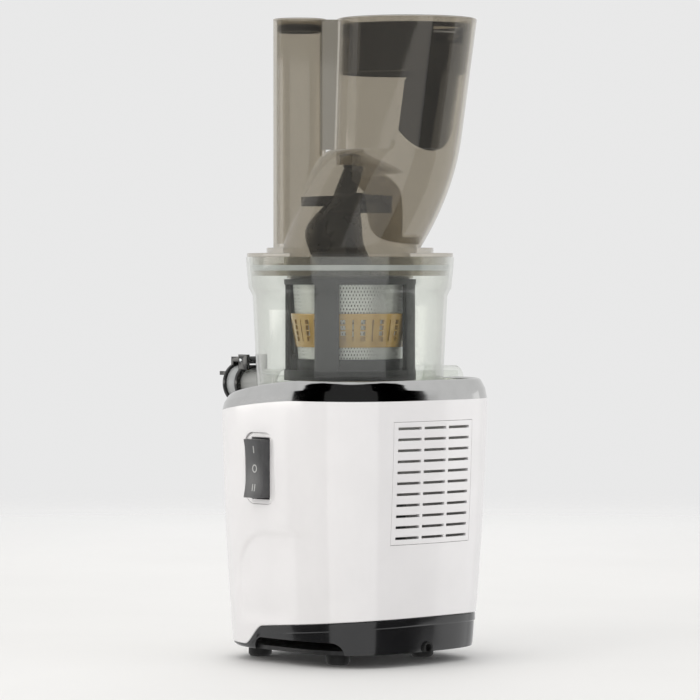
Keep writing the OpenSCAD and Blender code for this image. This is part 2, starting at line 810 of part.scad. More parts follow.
module drive_shaft() {
  z = stage2_z - 2;
  color("#c9ccd0") at_axis() {
    translate([0, 0, z]) cylinder(r = shaft_r, h = bowl_floor + 1 - z);
    translate([0, 0, bowl_floor]) cylinder(r = hex_r, h = hex_top - bowl_floor, $fn = 6);
  }
}

module shaft_bearings() {
  color("#d3d6da") at_axis() for (z = [hub_z, hub_top - bearing_h])
    translate([0, 0, z]) tube(bearing_r, shaft_r + run_gap, bearing_h);
}

module shaft_seal() {
  color("#3b3b3b") at_axis() translate([0, 0, well_floor - deck_t])
    tube(shaft_r + 5, shaft_r + run_gap, deck_t + 2);
}

// --- bowl ---

// Half profile of the bowl: skirt, wall, ledge and collar outside, then back down inside
function bowl_profile() =
  let (w = bowl_wall, low = bowl_floor - floor_t, foot = well_floor + join, step = ledge_z + 5.5)
  [[bowl_r_low - w, foot], [bowl_r_low, foot], [bowl_r_low, bowl_floor + 2], [bowl_r_mid, ledge_z],
    [bowl_r_mid + 2.2, step - 1], [bowl_r_mid + 3, step], [bowl_r_rim - 0.3, rim_z - 6], [bowl_r_rim, rim_z],
    [bowl_r_rim - w, rim_z], [bowl_r_mid + 3 - w, step + 0.6], [bowl_r_mid - w, ledge_z + 1],
    [bowl_r_low - w, bowl_floor], [0, bowl_floor], [0, low], [bowl_r_low - w, low]];

module bowl() {
  color("#dfe3e2", 0.35) at_axis() difference() {
    union() {
      rotate_extrude() polygon(bowl_profile());
      translate([0, 0, bowl_floor - 8]) cylinder(r = shaft_r + 5, h = 8);
      rotate(port_angle) translate([post_d, 0, bowl_floor - 1])
        cylinder(r = port_r + 1.5, h = base_z - bowl_floor + 1);
      rotate(post_angle) translate([post_d, 0, bowl_floor - 1])
        cylinder(r = post_r, h = base_z - bowl_floor + 1);
      rotate(post_angle) translate([post_d, 0, base_z - 1]) cylinder(r = post_r - 1.5, h = base_h);
      difference() {
        translate([0, 0, spout_z]) rotate([90, 0, 0]) cylinder(r = spout_r, h = spout_reach);
        cylinder(r = bowl_r_low - 1, h = spout_z + 30);
        cylinder(r = well_r + 1.1, h = well_floor + join);
      }
      intersection() {
        translate([0, -gutter_y, spout_z]) rotate([90, 0, 0])
          cylinder(r = spout_bore + gutter_wall, h = bowl_r_low - gutter_y - 0.5);
        translate([-20, -bowl_r_low, 0]) cube([40, bowl_r_low, bowl_floor]);
      }
    }
    translate([0, 0, bowl_floor - 9]) cylinder(r = shaft_r + 3, h = 12);
    rotate(port_angle) translate([post_d, 0, bowl_floor - 5]) cylinder(r = port_r, h = 30);
    rotate(idler_angle) translate([post_d, 0, bowl_floor - 5]) cylinder(r = 2.5, h = 10);
    translate([0, -gutter_y - gutter_wall, spout_z]) rotate([90, 0, 0])
      cylinder(r = spout_bore, h = spout_reach);
    translate([-bowl_r_low - 2, -duct_w / 2 - 0.2, duct_z - 8])
      cube([bowl_r_low - shaft_r - 5.6, duct_w + 0.4, bowl_floor - floor_t - duct_z + 8]);
    translate([-bowl_r_mid, -duct_w / 2 - 0.2, duct_z - 8])
      cube([bowl_r_mid - bowl_r_low + bowl_wall + 0.4, duct_w + 0.4, duct_h + 8.2]);
  }
}

module bowl_seal() {
  color("#b9bdbf") at_axis() translate([0, 0, bowl_floor - 8]) tube(shaft_r + 3, shaft_r + run_gap, 8);
}

// The pulp duct runs under the floor from the port, out through the wall, and turns down at its end
module pulp_duct() {
  inner = shaft_r + 5.8;
  t = 2;
  low_h = bowl_floor - floor_t - duct_z;
  color("#dfe3e2", 0.4) at_axis() difference() {
    union() {
      translate([-duct_reach + 8, -duct_w / 2, duct_z]) cube([duct_reach - 8 - inner, duct_w, low_h]);
      translate([-duct_reach + 8, -duct_w / 2, duct_z]) cube([duct_reach - 8 - bowl_r_low, duct_w, duct_h]);
      intersection() {
        translate([-duct_reach, -duct_w / 2, duct_z - 6]) cube([30, duct_w, duct_h + 6]);
        union() {
          translate([-duct_reach + 10, -duct_w, duct_top - 10]) rotate([-90, 0, 0])
            cylinder(r = 10, h = 2 * duct_w);
          translate([-duct_reach, -duct_w, duct_z - 6])
            cube([duct_reach - body_half_top - 3, 2 * duct_w, duct_h - 4]);
        }
      }
    }
    translate([-duct_reach + 10, -duct_w / 2 + t, duct_z + t])
      cube([duct_reach - 10 - inner - t, duct_w - 2 * t, low_h - 2 * t]);
    translate([-duct_reach + t + 2, -duct_w / 2 + t, duct_z + t])
      cube([duct_reach - 4 - bowl_r_low - t, duct_w - 2 * t, duct_h - 2 * t - 2]);
    translate([-duct_reach + t, -duct_w / 2 + t, duct_z - 7])
      cube([duct_reach - body_half_top - 3 - 2 * t, duct_w - 2 * t, duct_h - 4]);
    rotate(port_angle) translate([post_d, 0, duct_z + t]) cylinder(r = port_r, h = 20);
    rotate(port_angle) translate([post_d + 24, 0, duct_z - 1]) cylinder(r = 6, h = t + 2);
  }
}

module pulp_plug() {
  color("#8c8f91") at_axis() rotate(port_angle) translate([post_d + 24, 0, duct_z]) cylinder(r = 6, h = 2);
}

// Ring round the spout's end, with the ears of the cap's hinge
module spout_collar() {
  color("#1a1a1a") at_axis() difference() {
    union() {
      translate([0, -spout_reach + 0.5 + ring_t, spout_z]) rotate([90, 0, 0])
        cylinder(r = ring_r, h = ring_t);
      for (x = [-ear_x - ear_t, ear_x]) translate([x, -spout_reach, pad_z - 3.6])
        cube([ear_t, 10, cap_hinge_z - pad_z + 8]);
    }
    translate([0, 0, spout_z]) rotate([90, 0, 0]) cylinder(r = spout_r, h = spout_reach + 1);
    translate([-ear_x, -spout_reach - 1, pad_z]) cube([2 * ear_x, 20, 20]);
    translate([-20, cap_hinge_y, cap_hinge_z]) rotate([0, 90, 0]) cylinder(r = pin_small, h = 40);
  }
}

module cap_hinge_pin() {
  color("#c2c5c8") at_axis() translate([-ear_x - ear_t, cap_hinge_y, cap_hinge_z]) rotate([0, 90, 0])
    cylinder(r = pin_small, h = 2 * (ear_x + ear_t));
}

// The juice cap: a plate over the spout, an arm back to the hinge, and a finger tab
module juice_cap() {
  arm = 2 * ear_x - 0.8;
  arm_z = cap_hinge_z - 1.4;
  arm_t = 3.9;
  color("#161616") at_axis() difference() {
    union() {
      translate([0, plate_y, spout_z]) rotate([90, 0, 0]) cylinder(r = cap_r, h = cap_t);
      translate([-arm / 2, plate_y - cap_t, spout_z + 8])
        cube([arm, cap_t, arm_z + arm_t - spout_z - 8]);
      translate([-arm / 2, plate_y - cap_t, arm_z]) cube([arm, cap_hinge_y - plate_y + cap_t, arm_t]);
      translate([-arm / 2, cap_hinge_y, cap_hinge_z]) rotate([0, 90, 0]) cylinder(r = knuckle, h = arm);
      translate([-9, plate_y - cap_t - tab_len, spout_z + 6]) cube([18, tab_len + 1, 3]);
    }
    translate([-20, cap_hinge_y, cap_hinge_z]) rotate([0, 90, 0]) cylinder(r = pin_small + run_gap, h = 40);
  }
}

// The soft plug on the cap, hollow towards the spout
module cap_gasket() {
  color("#9da0a2") at_axis() translate([0, -spout_reach - gasket_gap, spout_z]) rotate([90, 0, 0])
    difference() {
      cylinder(r = ring_r - 1.3, h = gasket_t);
      translate([0, 0, -1]) cylinder(r = spout_bore, h = gasket_t - 2);
    }
}

// --- gear train in the bowl ---

module idler_gear() {
  color("#d8d4cc") at_axis() rotate(idler_angle) translate([post_d, 0, gear_z]) difference() {
    rotate(180) gear(bowl_module, idler_teeth, gear_h, add = 0.9);
    translate([0, 0, -1]) cylinder(r = 2.5 + run_gap, h = gear_h + 2);
  }
}

module idler_pin() {
  color("#c2c5c8") at_axis() rotate(idler_angle) translate([post_d, 0, bowl_floor - floor_t])
    cylinder(r = 2.5, h = base_z - 0.2 - bowl_floor + floor_t);
}

module wiper_gear() {
  color("#2b2b2b") at_axis() translate([0, 0, gear_z]) rotate(idler_angle) difference() {
    cylinder(r = wiper_gear_r, h = gear_h);
    translate([0, 0, -1]) gear(bowl_module, ring_teeth, gear_h + 2, slack = -0.1, add = 1.25, ded = 0.8);
  }
}

// The wiper's basket: a foot ring and a top ring joined by upright arms
module wiper_frame() {
  foot = gear_z + gear_h;
  rim = foot + 2;
  half = 180 / wiper_arms - asin(wiper_arm_w / 2 / wiper_out);
  far = 70;
  color("#262626") at_axis() difference() {
    rotate_extrude() polygon([[wiper_gear_r, gear_z], [wiper_out, gear_z], [wiper_out, wiper_rim_z],
      [wiper_r, wiper_rim_z], [wiper_r, foot], [wiper_gear_r, foot]]);
    for (i = [0:wiper_arms - 1]) rotate(360 / wiper_arms * (i + 0.5) + wiper_turn)
      translate([0, 0, rim]) linear_extrude(wiper_rim_z - 4 - rim)
        polygon([[0, 0], [far * cos(half), -far * sin(half)], [1.4 * far, 0],
          [far * cos(half), far * sin(half)]]);
  }
}

module wiper_blades() {
  color("#6d7072") at_axis() for (i = [0:wiper_arms - 1]) rotate(360 / wiper_arms * i + wiper_turn)
    translate([0, 0, band_z - 6]) intersection() {
      tube(wiper_r, band_r_top + join, ring_z - 12 - band_z + 2);
      translate([0, -1.5, 0]) cube([60, 3, 100]);
    }
}

// --- strainer ---

module strainer_base() {
  color("#2a2a2a") at_axis() translate([0, 0, base_z]) difference() {
    union() {
      cylinder(r = mesh_r(mesh_z + 5) + 1.2, h = base_h);
      translate([0, 0, base_h - eps]) tube(mesh_r(mesh_z + 5) + 1.2, mesh_r(mesh_z + 5), 5);
    }
    translate([0, 0, -1]) cylinder(r = 10, h = 20);
    rotate(port_angle) translate([post_d, 0, -1]) cylinder(r = port_r, h = 20);
    rotate(post_angle) translate([post_d, 0, -1]) cylinder(r = post_r - 1.5, h = 20);
  }
}

function mesh_r(z) = strainer_r_low + (z - mesh_z) / (ring_z - mesh_z) * 4.6;

module strainer_mesh() {
  color("#b5b6b2") at_axis() rotate_extrude() polygon([
    [mesh_r(mesh_z) - sheet_t, mesh_z], [mesh_r(mesh_z), mesh_z],
    [mesh_r(ring_z), ring_z], [mesh_r(ring_z) - sheet_t, ring_z]]);
}

module strainer_band() {
  low_in = mesh_r(band_z);
  high_in = mesh_r(band_z + band_h);
  color("#b3985a") at_axis() difference() {
    rotate_extrude() polygon([[low_in, band_z], [low_in + 1.2, band_z],
      [band_r_top, band_z + band_h - 2], [band_r_top, band_z + band_h], [high_in, band_z + band_h]]);
    for (i = [0:band_slots - 1]) rotate(360 / band_slots * i) translate([low_in + 0.6, -0.5, band_z + 4])
      cube([10, 1, band_h - 8]);
  }
}

module strainer_ring() {
  color("#303030") at_axis() translate([0, 0, ring_z - eps])
    tube(mesh_r(ring_z) + 1.6, mesh_r(ring_z) - 1.6, 5);
}

// --- auger ---

// The screw's head is a pile of circles that lean out to one side and turn a little as they rise, and
// draw in to the neck
function head_ring(z) =
  let (k = (z - head_z) / (neck_z - head_z), r = core_r_high + 0.5 - head_draw * smooth(2 * k - 1),
    off = head_off * sin(180 * k), a = head_turn + head_twist * (k - 0.5))
  [for (i = [0:35]) [off * cos(a) + r * cos(10 * i), off * sin(a) + r * sin(10 * i), z]];

// A screw flight: a tapering ridge carried round the core, thick at its root
module flight(start, z0, z1, steps) {
  turn = (z1 - z0) / flight_pitch * 360;
  loft([for (i = [0:steps]) let (k = i / steps, a = start + turn * k, z = z0 + (z1 - z0) * k,
      core = core_r_low - 3 + (core_r_high - core_r_low - 3) * k, r = flight_r - 2.5 * (1 - k))
    [for (p = [[core, -flight_t / 2], [core, flight_t / 2], [r, flight_t / 5], [r, -flight_t / 5]])
      [p.x * cos(a), p.x * sin(a), z + p.y]]]);
}

module auger_screw() {
  color("#242424") at_axis() difference() {
    union() {
      rotate_extrude() polygon([[0, gear_z - 0.5], [8.5, gear_z - 0.5], [8.5, gear_z + gear_h + 0.4],
        [9.4, gear_z + gear_h + 0.4], [9.4, mesh_z + 0.6], [core_r_low, mesh_z + 1.4],
        [core_r_low, screw_z + 30], [core_r_high, head_z - 2], [core_r_high, head_z + 1],
        [core_r_low - 3, head_z + 1], [0, head_z + 1]]);
      loft([for (i = [0:9]) head_ring(head_z + (screw_top - head_z) * i / 9)]);
      for (a = [0, 180]) flight(a, screw_z + 4, rim_z - 4, 28);
    }
    translate([0, 0, gear_z - 1]) cylinder(r = hex_r + 0.15, h = hex_top - gear_z + 2, $fn = 6);
  }
}

module auger_gear() {
  color("#d8d4cc") at_axis() translate([0, 0, gear_z]) rotate(idler_angle + 180 / auger_teeth) difference() {
    gear(bowl_module, auger_teeth, gear_h, add = 0.9);
    translate([0, 0, -1]) cylinder(r = 8.5, h = gear_h + 2);
  }
}

// The cutting wing on the screw's head: a neck, a leaning arm, a blade each side and the top spindle
module auger_wing() {
  color("#1c1c1c") at_axis() {
    loft([for (i = [0:4]) head_ring(screw_top + (neck_z - screw_top) * i / 4)]);
    rotate(head_turn) hull() {
      translate([4, 0, neck_z - 2]) cylinder(r = core_r_high - 13, h = 2, $fn = 32);
      translate([-3, 0, spindle_z - 4]) cylinder(r = core_r_high - 14, h = 4, $fn = 32);
    }
    for (side = [0, 1]) rotate(head_turn + 180 * side) translate([0, 0, screw_top + 5 - 5 * side]) hull() {
      translate([8, 0, 0]) cylinder(r = 6, h = 8 + 6 * side, $fn = 32);
      translate([wing_r - 3 - 5 * side, 4, 0]) cylinder(r = 2.6, h = 7 + 6 * side, $fn = 32);
    }
    translate([0, 0, spindle_z - 1]) cylinder(r = spindle_r, h = 10);
  }
}

// --- hopper ---

// Edges of the wide chute along its long axis, at height z, outside
function chute_right(z) = edge_top - chute_lean * (hopper_top - z)
  - tuck * pow(max(0, (tuck_z - z) / (tuck_z - chamber_z)), 2);
function chute_left(z) = z > crotch_z
  ? crotch_u + 3 * (z - crotch_z) / (hopper_top - crotch_z)
  : crotch_u - (chamber_r + crotch_u) * sqrt(min(1, (crotch_z - z) / (crotch_z - chamber_z)));
function chute_deep(z) = mouth_r + (chamber_r - mouth_r) * (hopper_top - z) / (hopper_top - chamber_z);
function chute_ring(z, inset, up = 0) = let (l = chute_left(z), r = chute_right(z), d = chute_deep(z))
  [for (i = [0:47]) let (a = 360 * i / 48)
    [(l + r) / 2 + ((r - l) / 2 - inset) * cos(a), (d - inset) * sin(a), z + up]];
chute_levels = concat([for (s = [1:-0.125:0]) crotch_z - (crotch_z - chamber_z) * s * s],
  [for (s = [0.15, 0.4, 0.7, 1]) crotch_z + (hopper_top - crotch_z) * s]);

module chute_solid(inset, over) {
  loft(concat([chute_ring(chamber_z, inset, -over)],
    [for (z = chute_levels) chute_ring(z, inset)],
    over > 0 ? [chute_ring(hopper_top, inset, over)] : []));
}

module hopper_frame() {
  at_axis() rotate(hopper_turn) children();
}

module hopper_shell() {
  shoulder = chamber_r - 1.2;
  dome = chamber_z + 33;
  web_z = crotch_z;
  web_t = 24;
  web_len = small_off + crotch_u + 4;
  window = [chamber_r, 68, 48];
  color("#8f8a80", 0.55) hopper_frame() {
    difference() {
      union() {
        chute_solid(0, 0);
        translate([-small_off, 0, chamber_z]) cylinder(r = small_r, h = hopper_top - chamber_z);
        translate([-small_off, -web_t / 2, web_z]) cube([web_len, web_t, hopper_top - web_z]);
      }
      chute_solid(hopper_wall, 3);
      translate([-small_off, 0, chamber_z + 3]) cylinder(r = small_r - hopper_wall, h = hopper_top);
    }
    intersection() {
      rotate_extrude() polygon([[shoulder - 2, chamber_z], [shoulder, chamber_z], [shoulder, dome],
        [shoulder - 3, dome + 14], [shoulder - 15, dome + 26], [shoulder - 34, dome + 35], [4, dome + 41],
        [4, dome + 39], [shoulder - 35, dome + 33], [shoulder - 16.4, dome + 24.4],
        [shoulder - 5, dome + 13], [shoulder - 2, dome]]);
      difference() {
        translate([2, -chamber_r, chamber_z]) cube([chamber_r, 2 * chamber_r, dome]);
        translate([12, -window.y / 2, chamber_z + 8]) cube(window);
      }
    }
    translate([0, 0, bush_z]) tube(bush_r + 2.5, bush_r, hub_disc - bush_z + 1);
    translate([0, 0, hub_disc]) cylinder(r = bush_r + 2.5, h = 3);
  }
}

// The hopper's foot: a plate over the bowl's rim, a skirt inside it, and the throat over the strainer
module hopper_base() {
  throat = mesh_r(ring_z) + 2.4;
  skirt = bowl_r_rim - bowl_wall - 1.2;
  color("#9a958b", 0.5) hopper_frame() difference() {
    union() {
      translate([0, 0, base_plate_z]) cylinder(r = bowl_r_rim - 0.6, h = 2.8);
      translate([0, 0, base_plate_z]) cylinder(r = chamber_r + 9.6, h = chamber_z - base_plate_z);
      translate([0, 0, rim_z - 14]) tube(skirt - 1, skirt - 3, 16);
      translate([0, 0, rim_z - 16]) tube(throat + 2, throat, 18);
    }
    translate([0, 0, rim_z - 20]) cylinder(r = throat, h = 40);
    translate([0, 0, base_plate_z + 2.8]) cylinder(r = chamber_r - hopper_wall, h = 20);
  }
}

module hopper_gasket() {
  skirt = bowl_r_rim - bowl_wall - 1.2;
  color("#c9c4bb") hopper_frame() translate([0, 0, rim_z - 10]) tube(skirt - 0.2, skirt - 1, 4);
}

module hopper_bush() {
  color("#d0cdc6") hopper_frame() translate([0, 0, bush_z]) tube(bush_r, spindle_r + join, 7);
}

module mouth_place() {
  hopper_frame() translate([mouth_off, 0, 0]) children();
}

module gate_place() {
  mouth_place() rotate(gate_dir) children();
}

// The mouth collar: a tinted lining that follows both mouths, with a thin lip on the rim
module gate_collar() {
  lining = hopper_wall + collar_gap;
  inner = lining + collar_wall;
  color("#3c3b39", 0.8) {
    hopper_frame() difference() {
      loft([chute_ring(hopper_top - collar_h, lining), chute_ring(hopper_top, lining, 0.01),
        chute_ring(hopper_top, 0, 0.01), chute_ring(hopper_top, 0.5, 1), chute_ring(hopper_top, inner, 1),
        chute_ring(hopper_top - collar_h, inner)], looped = true);
      translate([mouth_off, 0, 0]) rotate(gate_dir) translate([gate_axis - 6, -leaf_half - 0.4, hinge_z - 6])
        cube([20, 2 * leaf_half + 0.8, 12]);
    }
    hopper_frame() translate([-small_off, 0, 0]) {
      translate([0, 0, hopper_top - 9]) tube(small_r - hopper_wall - 0.2, small_r - hopper_wall - 1.8, 10);
      translate([0, 0, hopper_top + 0.01]) tube(small_r, small_r - hopper_wall - 1.8, 1);
    }
  }
}

module gate_hinge_block() {
  color("#101010") gate_place() difference() {
    translate([gate_axis - 3.8, -hinge_half, hinge_z - 5]) cube([6.4, 2 * hinge_half, 11]);
    translate([gate_axis - 10, -leaf_half - join, hinge_z - 6]) cube([20, 2 * (leaf_half + join), 20]);
    translate([gate_axis, -hinge_half - 1, hinge_z]) rotate([-90, 0, 0])
      cylinder(r = gate_pin_r, h = 2 * hinge_half + 2);
  }
}

module gate_pin() {
  half = hinge_half - 2;
  color("#c2c5c8") gate_place() translate([gate_axis, -half, hinge_z]) rotate([-90, 0, 0])
    cylinder(r = gate_pin_r, h = 2 * half);
}

// The gate: a curved leaf that hangs in the mouth from its hinge
module flip_gate() {
  color("#2e2d2c", 0.85) gate_place() difference() {
    union() {
      translate([gate_axis, -leaf_half, hinge_z]) rotate([-90, 0, 0])
        cylinder(r = knuckle_r, h = 2 * leaf_half);
      translate([gate_axis, 0, hinge_z]) rotate([0, gate_hang, 0])
        translate([-gate_axis, 0, -hinge_z]) intersection() {
        translate([0, 0, hinge_z - gate_len]) rotate(-gate_half) rotate_extrude(angle = 2 * gate_half)
          translate([gate_r - gate_t, 0]) square([gate_t, gate_len]);
        union() {
          translate([0, 0.4 - leaf_half, hinge_z - 12]) cube([60, 2 * leaf_half - 0.8, 14]);
          intersection() {
            union() {
              translate([0, 0, hinge_z - gate_len + 32]) rotate([0, 90, 0]) cylinder(r = 32, h = 60);
              translate([0, -25, hinge_z - 46]) cube([60, 50, 46]);
            }
            translate([0, -40, 0]) cube([60, 80, hinge_z - gate_shoulder]);
          }
        }
      }
    }
    translate([gate_axis, -leaf_half - 1, hinge_z]) rotate([-90, 0, 0])
      cylinder(r = gate_pin_r + run_gap, h = 2 * leaf_half + 2);
  }
}

body_shell();
trim_ring();
deck();
base_skirt();
bottom_plate();
rubber_feet();
foot_screws();
vent_grille();
switch_frame();
switch_rocker();
cord_inlet();
control_board();
capacitor();
motor_stator();
motor_coils();
motor_end_bell();
motor_bearings();
motor_isolators();
rotor();
cooling_fan();
motor_pinion();
gearbox_case();
gearbox_cover();
gearbox_screws();
gear_pin();
reduction_gear();
output_gear();
drive_shaft();
shaft_bearings();
shaft_seal();
bowl();
bowl_seal();
pulp_duct();
pulp_plug();
spout_collar();
cap_hinge_pin();
juice_cap();
cap_gasket();
idler_gear();
idler_pin();
strainer_base();
strainer_mesh();
strainer_band();
strainer_ring();
wiper_gear();
wiper_frame();
wiper_blades();
auger_screw();
auger_gear();
auger_wing();
hopper_shell();
hopper_base();
hopper_gasket();
hopper_bush();
gate_collar();
gate_hinge_block();
gate_pin();
flip_gate();
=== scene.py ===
# Cold press juicer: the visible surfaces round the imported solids. Sizes in the dictionaries are millimetres
# from the drive axis, with the spout towards -Y; a piece is put into the shared frame when its mesh is made.
import math
import bpy
import bmesh
import numpy as np
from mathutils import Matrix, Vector


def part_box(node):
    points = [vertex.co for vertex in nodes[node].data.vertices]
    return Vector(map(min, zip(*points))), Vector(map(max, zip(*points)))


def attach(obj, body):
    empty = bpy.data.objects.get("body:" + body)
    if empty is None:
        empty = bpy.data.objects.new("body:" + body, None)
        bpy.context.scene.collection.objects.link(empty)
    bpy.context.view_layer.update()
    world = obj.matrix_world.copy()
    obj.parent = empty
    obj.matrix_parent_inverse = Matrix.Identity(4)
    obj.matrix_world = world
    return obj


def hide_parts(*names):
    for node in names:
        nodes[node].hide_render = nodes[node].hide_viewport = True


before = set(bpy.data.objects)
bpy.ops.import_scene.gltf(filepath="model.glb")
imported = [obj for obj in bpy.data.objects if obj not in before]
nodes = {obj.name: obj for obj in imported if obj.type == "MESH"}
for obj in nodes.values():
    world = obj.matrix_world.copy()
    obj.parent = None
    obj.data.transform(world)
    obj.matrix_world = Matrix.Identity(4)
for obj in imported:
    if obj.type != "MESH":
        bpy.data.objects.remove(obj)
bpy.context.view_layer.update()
mm = 0.001
shaftLow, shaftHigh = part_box("drive_shaft")
axisPoint = np.array([(shaftLow.x + shaftHigh.x) / 2, (shaftLow.y + shaftHigh.y) / 2, 0.0])
print("frame loaded:", len(nodes), "nodes")


# --- camera, light and floor ---

studio = {  # metres and degrees, lens and sensor in mm; the first line says where the camera stands
    "distance": 2.76, "height": 0.2906, "azimuth": 47.0, "tiltDown": 1.25,
    "lens": 189.3, "sensor": 36.0,
    "floorColours": ("#e2e1df", "#e6e5e3"), "worldColour": "#eeeeee", "worldStrength": 0.95,
    "floorFade": (0.55, 2.2), "floorReach": 4.0,
    "cardDistance": 2.4, "cardHeight": 0.2, "cardSteps": 25, "lampAim": 0.25,
}


def linear(colour):  # sRGB hex to linear light
    parts = np.array([int(colour[i:i + 2], 16) for i in (1, 3, 5)]) / 255
    low = parts / 12.92
    high = ((parts + 0.055) / 1.055) ** 2.4
    return (*np.where(parts <= 0.04045, low, high).tolist(), 1.0)


def addNode(tree, kind, inputs=None, **settings):  # one node with its settings, values and links
    made = tree.nodes.new("ShaderNode" + kind)
    for key, value in settings.items():
        setattr(made, key, value)
    for key, value in (inputs or {}).items():
        if isinstance(value, bpy.types.NodeSocket):
            tree.links.new(value, made.inputs[key])
        else:
            made.inputs[key].default_value = value
    return made


def twoTone(tree, rising, first, second, low=0.3, high=0.7):  # an even run from one colour to another
    ramp = addNode(tree, "ValToRGB", {"Fac": rising})
    for element, place, shade in zip(ramp.color_ramp.elements, (low, high), (first, second)):
        element.position = place
        element.color = linear(shade)
    return ramp.outputs["Color"]


def noise(tree, place, size, detail):  # size is in mm
    return addNode(tree, "TexNoise", {"Vector": place, "Scale": 1000 / size, "Detail": detail}).outputs["Fac"]


def bump(tree, height, tall):  # tall is in mm
    inputs = {"Height": height, "Strength": 1.0, "Distance": tall * mm}
    return addNode(tree, "Bump", inputs).outputs["Normal"]


def mixOf(tree, share, first, second):  # the second shader takes this share
    return addNode(tree, "MixShader", {0: share, 1: first.outputs[0], 2: second.outputs[0]})


def show(tree, shader):
    addNode(tree, "OutputMaterial", {"Surface": shader.outputs[0]})


def newMaterial(name):
    material = bpy.data.materials.new(name)
    material.use_nodes = True
    material.node_tree.nodes.clear()
    return material, material.node_tree


def newObject(name, data):
    thing = bpy.data.objects.new(name, data)
    bpy.context.scene.collection.objects.link(thing)
    return thing


def aim(thing, target):  # turns a camera or light to look at a point
    direction = Vector(target) - thing.location
    thing.rotation_euler = direction.to_track_quat("-Z", "Y").to_euler()


def polar(azimuth, distance, height):  # a point round the drive axis; azimuth from +X towards +Y
    a = math.radians(azimuth)
    return (axisPoint[0] + distance * math.cos(a), axisPoint[1] + distance * math.sin(a), height)


def makeCamera():
    camera = newObject("camera", bpy.data.cameras.new("camera"))
    camera.location = polar(studio["azimuth"], studio["distance"], studio["height"])
    drop = studio["distance"] * math.tan(math.radians(studio["tiltDown"]))
    aim(camera, (axisPoint[0], axisPoint[1], studio["height"] - drop))
    camera.data.lens = studio["lens"]
    camera.data.sensor_width = studio["sensor"]
    bpy.context.scene.camera = camera


lamps = {  # azimuth, distance, height, width, tall, watts, colour
    "keySoftbox": (-8, 1.7, 1.15, 1.1, 1.3, 9, "#fffdfa"),
    "fillSoftbox": (112, 1.9, 0.9, 1.2, 1.4, 6, "#fbfcff"),
    "topSoftbox": (30, 0.25, 1.75, 1.5, 1.5, 6, "#ffffff"),
    "backSoftbox": (228, 1.8, 0.9, 1.6, 1.2, 7, "#ffffff"),
}


def facesOf(rows, columns, loopRows, loopColumns, first):
    # quads between each row and the next, and each column and the next
    r = np.arange(rows if loopRows else rows - 1)[:, None]
    c = np.arange(columns if loopColumns else columns - 1)[None, :]
    up, on = (r + 1) % rows, (c + 1) % columns
    quads = np.stack([r * columns + c, r * columns + on, up * columns + on, up * columns + c], -1)
    return (quads.reshape(-1, 4) + first).tolist()


cards = {  # what the gloss reflects: azimuth from, to, elevation from, to, colour, glow
    "lowDarkLeft": (-42, 3, -42, -3, "#060606", 0.0),
    "middleDarkLeft": (-30, 3, -3, 9, "#060606", 0.0),
    "stripLeft": (-64, -30, -3, 9, "#fffdf8", 3.2),
    "lowBright": (3, 91, -42, 9, "#ffffff", 0.95),
    "lowDarkRight": (91, 134, -42, 9, "#060606", 0.0),
    "lowBrightRight": (134, 172, -42, 9, "#ffffff", 1.1),
    "highDarkLeft": (-40, -2, 9, 60, "#040404", 0.0),
    "highDarkMiddle": (-2, 91, 9, 60, "#ffffff", 0.035),
    "highDarkRight": (91, 133, 9, 60, "#040404", 0.0),
}


def card(name, span, shade, glow):
    # a piece of a tall drum round the drive axis, hidden from the camera, shadows and diffuse light
    start, end, *elevations = span
    far, count = studio["cardDistance"], studio["cardSteps"]
    turn = np.radians(np.linspace(start, end, count))
    x, y = far * np.cos(turn), far * np.sin(turn)
    heights = [studio["cardHeight"] + far * math.tan(math.radians(e)) for e in elevations]
    rows = [np.stack([x, y, np.full(count, z)], -1) for z in heights]
    mesh = bpy.data.meshes.new(name)
    points = (np.concatenate(rows) + axisPoint).tolist()
    mesh.from_pydata(points, [], facesOf(2, count, False, False, 0))
    thing = newObject(name, mesh)
    material, tree = newMaterial(name)
    light = addNode(tree, "Emission", {"Color": linear(shade), "Strength": glow})
    show(tree, light)
    mesh.materials.append(material)
    thing.visible_camera = False
    thing.visible_shadow = False
    thing.visible_diffuse = False


